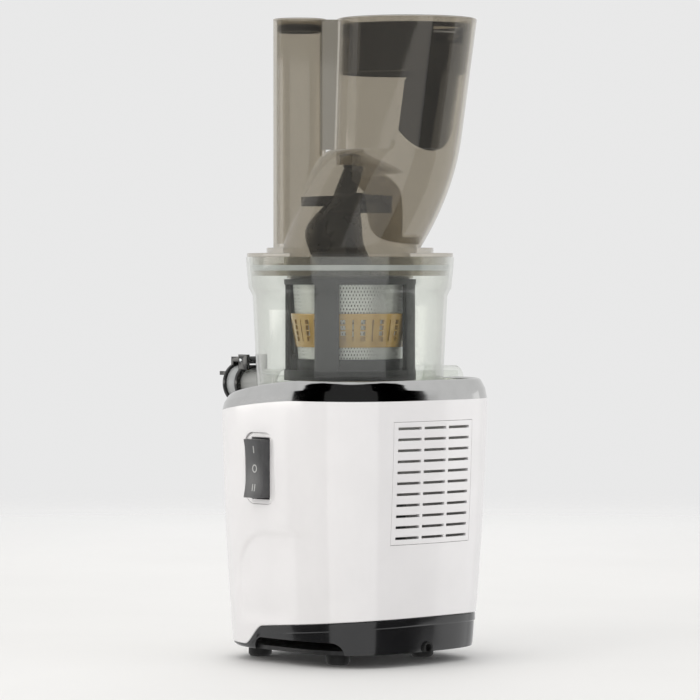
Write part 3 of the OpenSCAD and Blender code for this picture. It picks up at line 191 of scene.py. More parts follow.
def makeStudio():
    for name, (azimuth, distance, height, width, tall, watts, shade) in lamps.items():
        light = bpy.data.lights.new(name, "AREA")
        light.shape = "RECTANGLE"
        light.size = width
        light.size_y = tall
        light.energy = watts
        light.color = linear(shade)[:3]
        lamp = newObject(name, light)
        lamp.location = polar(azimuth, distance, height)
        lamp.visible_camera = False
        lamp.visible_glossy = False
        aim(lamp, (axisPoint[0], axisPoint[1], studio["lampAim"]))
    for name, (*span, shade, glow) in cards.items():
        card(name, span, shade, glow)
    mesh = bpy.data.meshes.new("studioFloor")
    reach = studio["floorReach"]
    corners = [(-reach, -reach, 0), (reach, -reach, 0), (reach, reach, 0), (-reach, reach, 0)]
    mesh.from_pydata(corners, [], [(0, 1, 2, 3)])
    floor = newObject("studioFloor", mesh)
    material, tree = newMaterial("paintedFloor")
    place = addNode(tree, "TexCoord").outputs["Object"]
    cloud = addNode(tree, "TexNoise", {"Vector": place, "Scale": 3.0, "Detail": 3.0})
    tone = twoTone(tree, cloud.outputs["Fac"], *studio["floorColours"])
    paint = addNode(tree, "BsdfPrincipled", {"Base Color": tone, "Roughness": 0.7})
    away = addNode(tree, "VectorMath", {0: place}, operation="LENGTH").outputs["Value"]
    near, far = studio["floorFade"]
    fade = addNode(tree, "MapRange", {"Value": away, "From Min": near, "From Max": far},
        interpolation_type="SMOOTHSTEP")
    air = addNode(tree, "BsdfTransparent", {"Color": (1, 1, 1, 1)})
    show(tree, mixOf(tree, fade.outputs["Result"], paint, air))
    mesh.materials.append(material)
    floor.visible_glossy = False
    world = bpy.data.worlds.new("studioWorld")
    bpy.context.scene.world = world
    world.use_nodes = True
    world.node_tree.nodes.clear()
    sky = addNode(world.node_tree, "Background",
        {"Color": linear(studio["worldColour"]), "Strength": studio["worldStrength"]})
    addNode(world.node_tree, "OutputWorld", {"Surface": sky.outputs[0]})
    scene = bpy.context.scene
    scene.view_settings.view_transform = "Standard"
    scene.cycles.transparent_max_bounces = 40


makeCamera()
makeStudio()
print("camera and studio made")


# --- mesh tools ---

def meshOf(name, parts):
    # each part is a grid (points, loopRows, loopColumns, capped); all become one mesh in the shared frame
    points, faces, count = [], [], 0
    for grid, loopRows, loopColumns, capped in parts:
        rows, columns, _ = grid.shape
        faces += facesOf(rows, columns, loopRows, loopColumns, count)
        if capped:
            last = count + (rows - 1) * columns
            faces += [list(range(first, first + columns)) for first in (count, last)]
        points.append(grid.reshape(-1, 3))
        count += rows * columns
    mesh = bpy.data.meshes.new(name)
    place = (np.concatenate(points) * mm + axisPoint).tolist()
    mesh.from_pydata(place, [], faces)
    shell = bmesh.new()
    shell.from_mesh(mesh)
    bmesh.ops.remove_doubles(shell, verts=shell.verts, dist=1e-7)
    bmesh.ops.recalc_face_normals(shell, faces=shell.faces)
    shell.to_mesh(mesh)
    shell.free()
    return newObject(name, mesh)


def combine(piece, tool, operation):  # an applied Boolean; the tool object goes away
    step = piece.modifiers.new("combine", "BOOLEAN")
    step.solver = "EXACT"
    step.operation = operation
    step.object = tool
    applyModifiers(piece)
    bpy.data.objects.remove(tool)


def solid(grid):  # rings from end to end, both ends closed
    return grid, False, True, True


def hoop(grid):  # rings whose last joins the first
    return grid, True, True, False


def carve(piece, operation, *parts):  # a Boolean with a tool made of these parts
    combine(piece, meshOf("tool", parts), operation)


def applyModifiers(piece):
    bpy.context.view_layer.update()
    shown = piece.evaluated_get(bpy.context.evaluated_depsgraph_get())
    mesh = bpy.data.meshes.new_from_object(shown)
    piece.modifiers.clear()
    piece.data = mesh


def copyOf(node, name):  # a merged copy of a CAD node's mesh, ready for smooth shading
    mesh = nodes[node].data.copy()
    mesh.name = name
    shell = bmesh.new()
    shell.from_mesh(mesh)
    bmesh.ops.remove_doubles(shell, verts=shell.verts, dist=2e-6)
    shell.to_mesh(mesh)
    shell.free()
    return newObject(name, mesh)


def cover(mesh, material):  # one finish on every face
    mesh.materials.clear()
    mesh.materials.append(material)
    mesh.polygons.foreach_set("material_index", np.zeros(len(mesh.polygons), dtype=np.int32))


def dress(piece, body, slot, material, replaced, sharp=32.0, bevel=0.0):
    # smooth shading up to an angle, an edge rounding in mm, the finish, and its place in the frame
    if bevel > 0:
        edge = piece.modifiers.new("edges", "BEVEL")
        edge.width = bevel * mm
        edge.segments = 2
        edge.limit_method = "ANGLE"
        edge.angle_limit = math.radians(35)
        applyModifiers(piece)
    mesh = piece.data
    cover(mesh, material)
    mesh.shade_smooth()
    mesh.set_sharp_from_angle(angle=math.radians(sharp))
    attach(piece, body)
    if replaced:
        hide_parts(*replaced)


def dressCopy(node, body, slot, material, name=None, **look):
    # a CAD node's copy, named as the node is, in camel case, unless a name is given
    first, *rest = node.split("_")
    copied = copyOf(node, name or first + "".join(word.capitalize() for word in rest))
    dress(copied, body, slot, material, [node], **look)


def faceCentres(piece):  # metres, in the shared frame
    places = np.zeros(len(piece.data.polygons) * 3)
    piece.data.polygons.foreach_get("center", places)
    return places.reshape(-1, 3)


def secondFinish(piece, material, chosen):  # another finish on the chosen faces
    piece.data.materials.append(material)
    piece.data.polygons.foreach_set("material_index", chosen.astype(np.int32))


def aboutZ(degrees):  # turns row vectors about the upright axis
    a = math.radians(degrees)
    return np.array([[math.cos(a), math.sin(a), 0], [-math.sin(a), math.cos(a), 0], [0, 0, 1]])


def extruded(section, places, across):
    # a flat section set out at each place: across x, its columns are y and z; across y, they are x and z
    rings = []
    for place in places:
        flat = [np.full(len(section), place), section[:, 0], section[:, 1]]
        rings.append(np.column_stack(flat if across == "x" else [flat[1], flat[0], flat[2]]))
    return np.stack(rings)


def lathe(profile, count=144):  # a closed (radius, z) profile turned round the drive axis
    a = np.linspace(0, 2 * math.pi, count, endpoint=False)
    profile = np.asarray(profile, dtype=float)
    r, z = profile[:, 0][:, None], profile[:, 1][:, None]
    return np.stack([r * np.cos(a), r * np.sin(a), z + 0 * a], -1)


def rod(start, end, radius, count=96):  # two circles square to the line from start to end
    start, end = np.asarray(start, float), np.asarray(end, float)
    along = (end - start) / np.linalg.norm(end - start)
    side = np.cross(along, [0.0, 0.0, 1.0] if abs(along[2]) < 0.9 else [1.0, 0.0, 0.0])
    side /= np.linalg.norm(side)
    up = np.cross(along, side)
    a = np.linspace(0, 2 * math.pi, count, endpoint=False)[:, None]
    circle = radius * (np.cos(a) * side + np.sin(a) * up)
    return np.stack([start + circle, end + circle])


def block(low, high):  # a box as two rings of four corners
    x0, y0, z0 = low
    x1, y1, z1 = high
    ring = np.array([[x0, y0], [x1, y0], [x1, y1], [x0, y1]])
    return np.stack([np.column_stack([ring, np.full(4, z)]) for z in (z0, z1)]).astype(float)


def roundedFrame(width, height, corner, count=10):  # outline of a rectangle with round corners, middle at 0
    a = np.linspace(0, math.pi / 2, count)
    quarter = np.stack([np.cos(a), np.sin(a)], -1) * corner
    turns = []
    for k, (sx, sy) in enumerate(((1, 1), (-1, 1), (-1, -1), (1, -1))):
        c, s = math.cos(k * math.pi / 2), math.sin(k * math.pi / 2)
        bend = quarter @ np.array([[c, s], [-s, c]])
        turns.append(bend + np.array([sx * (width / 2 - corner), sy * (height / 2 - corner)]))
    return np.concatenate(turns)


def through(points, count):  # a smooth line through points: cubics whose slopes come from the neighbours
    points = np.asarray(points, float)
    ends = np.vstack([2 * points[0] - points[1], points, 2 * points[-1] - points[-2]])
    t = np.linspace(0, len(points) - 1, count)
    i = np.minimum(t.astype(int), len(points) - 2)
    f = (t - i)[:, None]
    a, b, c, d = ends[i], ends[i + 1], ends[i + 2], ends[i + 3]
    square, cube = 2 * a - 5 * b + 4 * c - d, 3 * b - a - 3 * c + d
    return 0.5 * (2 * b + (c - a) * f + square * f ** 2 + cube * f ** 3)


# --- finishes ---

def calc(tree, operation, *values):  # the result of one Math node
    return addNode(tree, "Math", dict(enumerate(values)), operation=operation).outputs[0]


def opaque(name, look):
    # A closed surface: a faint mottle in the colour, a roughness that wanders with it, and a fine relief.
    # look: colour, second (the mottle's other colour), mottle (its size, mm), rough (low, high),
    # grain (the relief's size, mm), relief (its height, mm), metallic, coat
    material, tree = newMaterial(name)
    place = addNode(tree, "TexCoord").outputs["Object"]
    cloud = noise(tree, place, look["mottle"], 4.0)
    tone = twoTone(tree, cloud, look["colour"], look["second"], 0.35, 0.68)
    smooth, dull = look["rough"]
    rough = addNode(tree, "MapRange", {"Value": cloud, "From Min": 0.3, "From Max": 0.7,
        "To Min": smooth, "To Max": dull})
    relief = bump(tree, noise(tree, place, look["grain"], 2.0), look["relief"])
    show(tree, addNode(tree, "BsdfPrincipled", {"Base Color": tone, "Roughness": rough.outputs["Result"],
        "Metallic": look.get("metallic", 0.0), "Coat Weight": look.get("coat", 0.0),
        "Coat Roughness": 0.04, "Normal": relief}))
    return material


def seeThrough(name, look):
    # A clear moulded wall: light goes straight through and takes the tint. The clear share mirrors the room
    # by f0 face on, rising with the fifth power of the facing value to 0.6 at a grazing view. The share of
    # the wall's own skin rises from centre to edge with the facing value to the given power.
    # look: tint, skin, second (the skin's other colour), centre, edge, power, rough, wave (relief size, mm),
    # relief (its height, mm), coat, f0
    material, tree = newMaterial(name)
    place = addNode(tree, "TexCoord").outputs["Object"]
    facing = addNode(tree, "LayerWeight", {"Blend": 0.5}).outputs["Facing"]
    curve = calc(tree, "POWER", facing, look["power"])
    share = addNode(tree, "MapRange", {"Value": curve, "To Min": look["centre"], "To Max": look["edge"]})
    wave = noise(tree, place, look["wave"], 1.0)
    relief = bump(tree, wave, look["relief"])
    tone = twoTone(tree, wave, look["skin"], look["second"])
    passing = addNode(tree, "BsdfTransparent", {"Color": linear(look["tint"])})
    mirror = addNode(tree, "BsdfGlossy", {"Roughness": look["rough"], "Normal": relief})
    steep = calc(tree, "POWER", facing, 5.0)
    gloss = addNode(tree, "MapRange", {"Value": steep, "To Min": look.get("f0", 0.045), "To Max": 0.6})
    skin = addNode(tree, "BsdfPrincipled", {"Base Color": tone, "Roughness": look["rough"],
        "Coat Weight": look.get("coat", 0.5), "Coat Roughness": 0.02, "Normal": relief})
    clear = mixOf(tree, gloss.outputs["Result"], passing, mirror)
    show(tree, mixOf(tree, share.outputs["Result"], clear, skin))
    return material


# High gloss ABS, injection moulded in a polished tool: an even white with a faint long wave in its gloss
whiteAbs = opaque("glossWhiteAbs", {"colour": "#ebe9e9", "second": "#e7e5e5", "mottle": 40,
    "rough": (0.12, 0.17), "grain": 14, "relief": 0.006, "coat": 0.35})
# ABS plated with chrome over satin nickel: mirrors the room a little blurred
platedTrim = opaque("satinChromePlate", {"colour": "#c9c9c8", "second": "#c1c1c0", "mottle": 25,
    "rough": (0.06, 0.10), "grain": 12, "relief": 0.004, "metallic": 1.0})
# Black gloss ABS, moulded: deep colour and a sharp skin, its roughness a little uneven
blackAbs = opaque("glossBlackAbs", {"colour": "#111112", "second": "#171718", "mottle": 18,
    "rough": (0.07, 0.14), "grain": 11, "relief": 0.005, "coat": 0.6})
# Dark grey gloss ABS of the skirt
skirtAbs = opaque("glossCharcoalAbs", {"colour": "#1b1b1c", "second": "#202021", "mottle": 22,
    "rough": (0.10, 0.17), "grain": 10, "relief": 0.006, "coat": 0.25})
# Filled polypropylene, moulded in a spark-eroded tool: matt and slightly pebbled
darkPolypropylene = opaque("texturedBlackPolypropylene", {"colour": "#232324", "second": "#1b1b1c",
    "mottle": 6, "rough": (0.42, 0.56), "grain": 0.8, "relief": 0.03})
# Satin ABS on the rocker, its sheen a little uneven
rockerAbs = opaque("satinGreyAbs", {"colour": "#4a4a4b", "second": "#535354", "mottle": 9,
    "rough": (0.28, 0.38), "grain": 1.2, "relief": 0.015})
# Pad-printed ink, matt light grey, on the rocker's marks
markInk = opaque("printedLightInk", {"colour": "#b6b6b4", "second": "#aaaaa8", "mottle": 2,
    "rough": (0.45, 0.55), "grain": 0.6, "relief": 0.004})
# Moulded nitrile rubber, matt with a talc bloom
blackRubber = opaque("mouldedNitrileRubber", {"colour": "#1a1a1a", "second": "#242423", "mottle": 7,
    "rough": (0.6, 0.78), "grain": 0.9, "relief": 0.03})
# Liquid silicone, moulded: soft grey with a slick skin
greySilicone = opaque("mouldedGreySilicone", {"colour": "#a3a5a5", "second": "#b0b1b0", "mottle": 12,
    "rough": (0.34, 0.46), "grain": 2.5, "relief": 0.01})
# Dark silicone of the wiper's lips
darkSilicone = opaque("mouldedDarkSilicone", {"colour": "#5d5f60", "second": "#6a6c6c", "mottle": 8,
    "rough": (0.36, 0.5), "grain": 2.0, "relief": 0.01})
# Natural acetal, moulded: waxy ivory with a soft shine
ivoryAcetal = opaque("naturalAcetal", {"colour": "#d9d5cb", "second": "#cfcabe", "mottle": 10,
    "rough": (0.3, 0.4), "grain": 1.5, "relief": 0.012})
# Glass-filled engineering plastic of the auger: near black, satin, faintly mottled
augerPlastic = opaque("glassFilledPolyetherimide", {"colour": "#1f1f1f", "second": "#2a2a29", "mottle": 16,
    "rough": (0.22, 0.34), "grain": 1.4, "relief": 0.012, "coat": 0.15})
# Satin black ABS of the spout's ring, cap and gate hinge
satinBlackAbs = opaque("satinBlackAbs", {"colour": "#161616", "second": "#1e1e1e", "mottle": 10,
    "rough": (0.2, 0.3), "grain": 1.6, "relief": 0.01, "coat": 0.2})
# Ground and zinc-plated steels
zincSteel = opaque("zincPlatedSteel", {"colour": "#9a9c9d", "second": "#b1b3b1", "mottle": 4,
    "rough": (0.3, 0.45), "grain": 0.7, "relief": 0.008, "metallic": 1.0})
groundSteel = opaque("groundStainlessSteel", {"colour": "#b7babc", "second": "#a6a9ab", "mottle": 5,
    "rough": (0.18, 0.28), "grain": 0.5, "relief": 0.004, "metallic": 1.0})
# Pressure die-cast aluminium: grey, grainy, with a cool bloom
diecast = opaque("dieCastAluminium", {"colour": "#9b9ea0", "second": "#86898b", "mottle": 5,
    "rough": (0.42, 0.6), "grain": 0.7, "relief": 0.04, "metallic": 1.0})
# Sintered steel gears with an oily brass tint
sinteredSteel = opaque("oiledSinteredSteel", {"colour": "#9b8d5f", "second": "#847a58", "mottle": 2.5,
    "rough": (0.3, 0.44), "grain": 0.4, "relief": 0.015, "metallic": 1.0})
# Stacked electrical steel, varnished
lamination = opaque("varnishedElectricalSteel", {"colour": "#6f7173", "second": "#5b5d5f", "mottle": 3,
    "rough": (0.4, 0.55), "grain": 0.5, "relief": 0.03, "metallic": 0.8})
# Enamelled copper wire, wound and dipped
copperWire = opaque("enamelledCopperWire", {"colour": "#a4551f", "second": "#8a4419", "mottle": 1.2,
    "rough": (0.25, 0.4), "grain": 0.6, "relief": 0.08, "metallic": 0.9})
# Green solder mask on a glass-epoxy board
boardEpoxy = opaque("solderMaskedEpoxy", {"colour": "#23512f", "second": "#1b4527", "mottle": 5,
    "rough": (0.25, 0.36), "grain": 0.8, "relief": 0.01, "coat": 0.3})
# Deep-drawn aluminium can
drawnCan = opaque("drawnAluminiumCan", {"colour": "#8d9194", "second": "#7c8083", "mottle": 7,
    "rough": (0.25, 0.36), "grain": 0.6, "relief": 0.006, "metallic": 1.0})

# Clear copolyester, moulded: nearly colourless with a pale grey cast at its edges
clearCopolyester = seeThrough("clearCopolyester", {"tint": "#fbfcfa", "skin": "#e6e7e3", "second": "#ecedea",
    "centre": 0.03, "edge": 0.62, "power": 3.2, "rough": 0.05, "wave": 22, "relief": 0.01})
# The same plastic with a warm smoke tint in the hopper
smokeCopolyester = seeThrough("smokeCopolyester", {"tint": "#e2dfd9", "skin": "#efece5", "second": "#f3f0ea",
    "centre": 0.025, "edge": 0.95, "power": 5.5, "f0": 0.03, "rough": 0.05, "wave": 26, "relief": 0.01})
# The web between the chutes is solid: a look through its two faces takes a little more tint than one
# through the four faces of a chute
thickSmoke = seeThrough("thickSmokeCopolyester", {"tint": "#bfbcb5", "skin": "#bab4a8", "second": "#c4beb3",
    "centre": 0.04, "edge": 0.8, "power": 4.2, "rough": 0.05, "wave": 26, "relief": 0.01})
# Dark smoke of the mouth's collar
collarSmoke = seeThrough("darkSmokeCopolyester", {"tint": "#8f8e8c", "skin": "#363534", "second": "#3c3b39",
    "centre": 0.62, "edge": 0.85, "power": 1.5, "coat": 1.0, "rough": 0.06, "wave": 20, "relief": 0.008})
# The gate's smoke is darker still, to match the photograph; its leaf is as thick as the collar
gateSmoke = seeThrough("deepSmokeCopolyester", {"tint": "#7a7977", "skin": "#131312", "second": "#191918",
    "centre": 0.72, "edge": 0.97, "power": 1.2, "coat": 1.0, "rough": 0.06, "wave": 20, "relief": 0.008})


def perforated(name, look):
    # Photo-etched stainless sheet: rows of short upright slots, each row set off by half a step from the
    # next. The slots are real holes to the light, cut by the pattern on the piece's own UV, in millimetres.
    material, tree = newMaterial(name)
    flat = addNode(tree, "UVMap", uv_map="millimetres").outputs["UV"]
    split = addNode(tree, "SeparateXYZ", {"Vector": flat})
    row = calc(tree, "DIVIDE", split.outputs["Y"], look["rise"])
    half = calc(tree, "MULTIPLY", calc(tree, "FLOOR", row), 0.5)
    across = calc(tree, "DIVIDE", split.outputs["X"], look["step"])
    shifted = calc(tree, "ADD", across, half)
    inside = []
    for place, size in ((shifted, look["wide"] / 2 / look["step"]), (row, look["tall"] / 2 / look["rise"])):
        away = calc(tree, "ABSOLUTE", calc(tree, "SUBTRACT", calc(tree, "FRACT", place), 0.5))
        inside.append(calc(tree, "LESS_THAN", away, size))
    hole = calc(tree, "MULTIPLY", *inside)
    cloud = addNode(tree, "TexNoise", {"Vector": flat, "Scale": 0.35, "Detail": 3.0})
    tone = twoTone(tree, cloud.outputs["Fac"], look["colour"], look["second"])
    steel = addNode(tree, "BsdfPrincipled", {"Base Color": tone, "Metallic": look["metallic"],
        "Roughness": look["rough"]})
    gap = addNode(tree, "BsdfTransparent", {"Color": (1, 1, 1, 1)})
    show(tree, mixOf(tree, hole, steel, gap))
    return material


etchedSteel = perforated("etchedStainlessSheet", {"colour": "#d3d4d0", "second": "#c6c7c3", "metallic": 0.45,
    "rough": 0.36, "step": 2.3, "rise": 2.6, "wide": 0.8, "tall": 1.4})
# Tinted polyetherimide of the strainer's band: translucent amber gold
goldBand = seeThrough("amberPolyetherimide", {"tint": "#d9b777", "skin": "#d0ab5c", "second": "#bd9747",
    "centre": 0.72, "edge": 0.95, "power": 1.4, "rough": 0.14, "wave": 9, "relief": 0.01})
print("finishes made:", len(bpy.data.materials))

plainNodes = [  # CAD nodes that stay as they are, by finish
    (darkPolypropylene, ["bottom_plate", "cooling_fan", "wiper_gear"]),
    (blackRubber, ["motor_isolators", "shaft_seal"]),
    (greySilicone, ["bowl_seal", "pulp_plug", "hopper_gasket"]),
    (zincSteel, ["foot_screws", "gearbox_screws"]),
    (groundSteel, ["gear_pin", "idler_pin", "drive_shaft", "shaft_bearings", "motor_bearings"]),
    (diecast, ["motor_end_bell", "gearbox_case", "gearbox_cover"]),
    (sinteredSteel, ["motor_pinion", "reduction_gear", "output_gear"]),
    (lamination, ["motor_stator", "rotor"]),
    (copperWire, ["motor_coils"]),
    (boardEpoxy, ["control_board"]),
    (drawnCan, ["capacitor"]),
    (ivoryAcetal, ["idler_gear", "auger_gear", "hopper_bush"]),
]
for finish, members in plainNodes:
    for member in members:
        cover(nodes[member].data, finish)


# --- base ---

base = {
    "halfTop": 87.2, "halfFoot": 80.0, "squareness": 3.2, "back": 5.0, "wall": 3.0, "top": 195.0,
    "seam": 36.0, "dip": 10.4, "dipFrom": 30.0, "dipRun": 101.0, "slope": 0.085, "stepFrom": 15.0,
    "stepLong": 21.0, "skirtFront": 3.0, "trimThin": 0.26, "sides": 288, "rows": 84, "lip": 6.0,
    "lipStep": 0.7, "trimTall": 14.8, "trimLean": 4.6, "trimWall": 2.4, "wellRadius": 71.5,
    "wellFloor": 193.0, "deck": 3.0, "floor": 10.0, "skirtWall": 2.6, "archTall": 9.0, "archLong": 84.0,
    "archRadius": 8.0, "archFront": -20.0,
}
spout = {"z": 203.0, "notch": 12.8, "reach": 115.0}
duct = {"wide": 30.0, "z": 195.0, "room": 2.0, "tall": 58.0}
cordNotch = {"radius": 4.5, "z": 13.0}
backCut = (60.0, 100.0)  # how far out a tool reaches that cuts one side of the body only
angles = np.linspace(0, 2 * math.pi, base["sides"], endpoint=False)


def smoothStep(t):  # from 0 to 1 with level ends: three t squared less two t cubed
    t = np.clip(t, 0, 1)
    return t * t * (3 - 2 * t)


def outline(half):  # a rounded square: |x/half|^n + |y/half|^n = 1, round the body's own middle
    n = base["squareness"]
    r = half / (np.abs(np.cos(angles)) ** n + np.abs(np.sin(angles)) ** n) ** (1 / n)
    return r * np.cos(angles), r * np.sin(angles)


def frontDip(y):  # how far the top edge dips: the way to the front to the power 1.5, level at the very front
    way = np.clip((base["dipFrom"] - y) / base["dipRun"], 0, 1)
    return base["dip"] * way ** 1.5


def frontDrop(y):  # how far the seam drops: an even slope, and one soft step near the front
    reach = base["stepFrom"] + base["stepLong"]
    step = base["seam"] - base["slope"] * (base["halfFoot"] + reach) - base["floor"] - base["skirtFront"]
    slope = base["slope"] * (base["halfFoot"] - np.maximum(y, -reach))
    return slope + step * smoothStep((-y - base["stepFrom"]) / base["stepLong"])


def topHeight(y, up):  # the height of what stands `up` over the dipped edge: it loses height with the dip
    dip = frontDip(y)
    return base["top"] - dip + up * (1 - base["trimThin"] * dip / base["dip"])


def bodyHalf(t):  # half the width, t from seam to top edge: it narrows downwards with the power 1.5
    return base["halfTop"] - (base["halfTop"] - base["halfFoot"]) * (1 - t) ** 1.5


recess = {"front": -38.0, "top": 100.0, "corner": 38.0, "deep": 1.3, "soft": 6.0, "fadeFrom": 66.0,
    "fade": 60.0, "foot": 26.0, "rise": 14.0, "side": 20.0}


def fingerRecess(y, z):
    # the grip on each side: deep inside a rounded corner, with a soft edge, and fading towards the back
    a = np.maximum(0, recess["front"] + recess["corner"] - y)
    b = np.maximum(0, z - recess["top"] + recess["corner"])
    inside = recess["corner"] - np.sqrt(a * a + b * b)
    back = smoothStep((recess["fadeFrom"] - y) / recess["fade"])
    foot = smoothStep((z - recess["foot"]) / recess["rise"])
    return recess["deep"] * smoothStep(inside / recess["soft"]) * (back * foot)


def bodyRing(t, inset):  # a ring of the white body, t from its seam to its top edge
    x, y = outline(bodyHalf(t) - inset)
    z = (1 - t) * (base["seam"] - frontDrop(y)) + t * (base["top"] - frontDip(y))
    if inset < base["wall"]:
        x = x - np.sign(x) * fingerRecess(y + base["back"], z) * smoothStep(np.abs(x) / recess["side"] - 1)
    return np.stack([x, y + base["back"], z], -1)


def topRing(half, up):  # a ring over the dipped top edge
    x, y = outline(half)
    return np.stack([x, y + base["back"], topHeight(y, up)], -1)


def footRing(half, t):  # a ring of the skirt, t from its foot to the seam
    x, y = outline(half)
    z = base["floor"] + t * (base["seam"] - frontDrop(y) - base["floor"])
    return np.stack([x, y + base["back"], z], -1)


def bodySkin(name):  # out over the side, over the edge, down inside and back
    ts = np.linspace(0, 1, base["rows"])
    soft = 0.5
    outer = [bodyRing(ts[0] + 0.0001, soft)] + [bodyRing(t, 0) for t in (0.004, *ts[1:-1], 1)]
    inner = [bodyRing(t, base["wall"]) for t in (1, 0.75, 0.5, 0.25, 0)]
    return meshOf(name, [hoop(np.stack(outer + inner))])


def ductNotch(deep):
    half, side = duct["wide"] / 2 + duct["room"], -base["halfTop"]
    return block((side - 10, -half, duct["z"] - duct["room"]), (side + deep, half, duct["z"] + duct["tall"]))


def spoutNotch(radius, top=263.0):
    # the round bed and the straight way up from it, outside the well's wall
    reach = (-spout["reach"], -base["wellRadius"] - 0.8)
    a = np.linspace(math.pi, 2 * math.pi, 49)
    section = np.concatenate([np.stack([radius * np.cos(a), spout["z"] + radius * np.sin(a)], -1),
        [[radius, top], [-radius, top]]])
    return extruded(section, reach, "y")


vent = {"wide": 80.0, "tall": 90.0, "z": 135.0, "rows": 11, "columns": 3, "slot": 2.0, "gap": 2.6,
    "margin": 4.0, "fit": 0.6}


def ventBlock(room):  # the vent's place through the back wall, smaller all round by half this room
    w, h, y = vent["wide"] - room, vent["tall"] - room, base["back"]
    return solid(block((-w / 2, backCut[0] + y, vent["z"] - h / 2),
        (w / 2, backCut[1] + y, vent["z"] + h / 2)))


switch = {"wide": 19.0, "tall": 43.0, "side": 6.8, "end": 5.0, "corner": 9.0, "z": 144.5, "front": 10.6,
    "out": 7.5, "hollow": 2.5}


def makeBody():
    shell = bodySkin("bodyShell")
    grille = bodySkin("ventGrille")
    y = base["back"]
    carve(shell, "DIFFERENCE", ventBlock(0))
    width, height = switch["wide"] + 2 * switch["side"], switch["tall"] + 2 * switch["end"]
    line = roundedFrame(width, height, switch["corner"])
    line = np.stack([line[:, 0] + y - switch["front"], line[:, 1] + switch["z"]], -1)
    carve(shell, "DIFFERENCE", solid(extruded(line, backCut, "x")))
    carve(shell, "DIFFERENCE", solid(ductNotch(10)))
    dress(shell, "base", "white_body", whiteAbs, ["body_shell"])
    carve(grille, "INTERSECT", ventBlock(vent["fit"]))
    margin = vent["margin"]
    wide = (vent["wide"] - 2 * margin - vent["gap"] * (vent["columns"] - 1)) / vent["columns"]
    pitch = (vent["tall"] - 10) / (vent["rows"] - 1)
    slots = []
    for row in range(vent["rows"]):
        for column in range(vent["columns"]):
            x0 = column * (wide + vent["gap"]) + margin - vent["wide"] / 2
            z0 = vent["z"] + (row - (vent["rows"] - 1) / 2) * pitch - vent["slot"] / 2
            low, high = (x0, backCut[0] + y, z0), (x0 + wide, backCut[1] + y, z0 + vent["slot"])
            slots.append(solid(block(low, high)))
    carve(grille, "DIFFERENCE", *slots)
    dress(grille, "base", "white_body", whiteAbs, ["vent_grille"], bevel=0.25)


def makeTrim():
    top, lean, tall = base["halfTop"], base["trimLean"], base["trimTall"]
    inside = lean + base["trimWall"] + 0.6
    # two flat bands, 10 and 25 degrees off upright, with a crisp line between them and a rounded top
    bands = [(0, 0), (0.65, 3.7), (1.26, 7.2), (1.34, 7.5), (1.5, 7.9), (2.4, 9.8), (3.2, 11.5), (3.9, 13.0)]
    over = through([(3.9, 13.0), (4.6, 13.9), (lean + 1.4, tall), (inside, tall - 1.2)], 14)[1:]
    profile = np.vstack([bands, over])
    rings = [topRing(top - inset, up) for inset, up in profile]
    rings += [topRing(top - inside, 3), topRing(top - base["wall"], 0)]
    ring = meshOf("trimRing", [hoop(np.stack(rings))])
    carve(ring, "DIFFERENCE", solid(ductNotch(20)))
    carve(ring, "DIFFERENCE", solid(spoutNotch(spout["notch"] + 1.6)))
    dress(ring, "base", "bright_trim", platedTrim, ["trim_ring"])


def makeDeck():
    edge = base["halfTop"] - base["trimLean"] - base["trimWall"] - 0.7
    rise = base["trimTall"] - 1.6
    well, low = base["wellRadius"], base["wellFloor"] - base["deck"]
    outer = topRing(edge, rise)
    circle = np.stack([well * np.cos(angles), well * np.sin(angles), 0 * angles], -1)
    edgeZ = topHeight(circle[:, 1] - base["back"], rise + 1.4)
    inner = circle + np.stack([0 * angles, 0 * angles, edgeZ], -1)
    rings = [topRing(edge, 3), topRing(edge, rise - 0.5), topRing(edge - 0.4, rise)]
    rings += [outer + (inner - outer) * s for s in np.linspace(0.1, 0.93, 8)]
    soft = 1.0
    for turn in np.linspace(0.2, 1, 5) * math.pi / 2:  # a rounded lip into the well
        ring = inner + np.array([0, 0, -soft * (1 - math.cos(turn))])
        ring[:, :2] *= (well + soft * (1 - math.sin(turn))) / well
        rings.append(ring)
    rings.append(circle + np.array([0, 0, low]))
    deck = meshOf("deck", [hoop(np.stack(rings))])
    carve(deck, "UNION", hoop(lathe([(well + 0.8, low), (well + 0.8, low + 3), (12, low + 3), (12, low)])))
    z, front = spout["z"], -base["halfTop"] + base["back"] + 0.6
    bed = meshOf("tool", [solid(rod((0, -60, z), (0, front, z), spout["notch"] + 1.4))])
    carve(bed, "INTERSECT", solid(block((-30, -100, z - 30), (30, -well + 0.5, z - 6))))
    combine(deck, bed, "UNION")
    carve(deck, "DIFFERENCE", solid(ductNotch(60)))
    carve(deck, "DIFFERENCE", solid(spoutNotch(spout["notch"])))
    dress(deck, "base", "black_gloss", blackAbs, ["deck"])


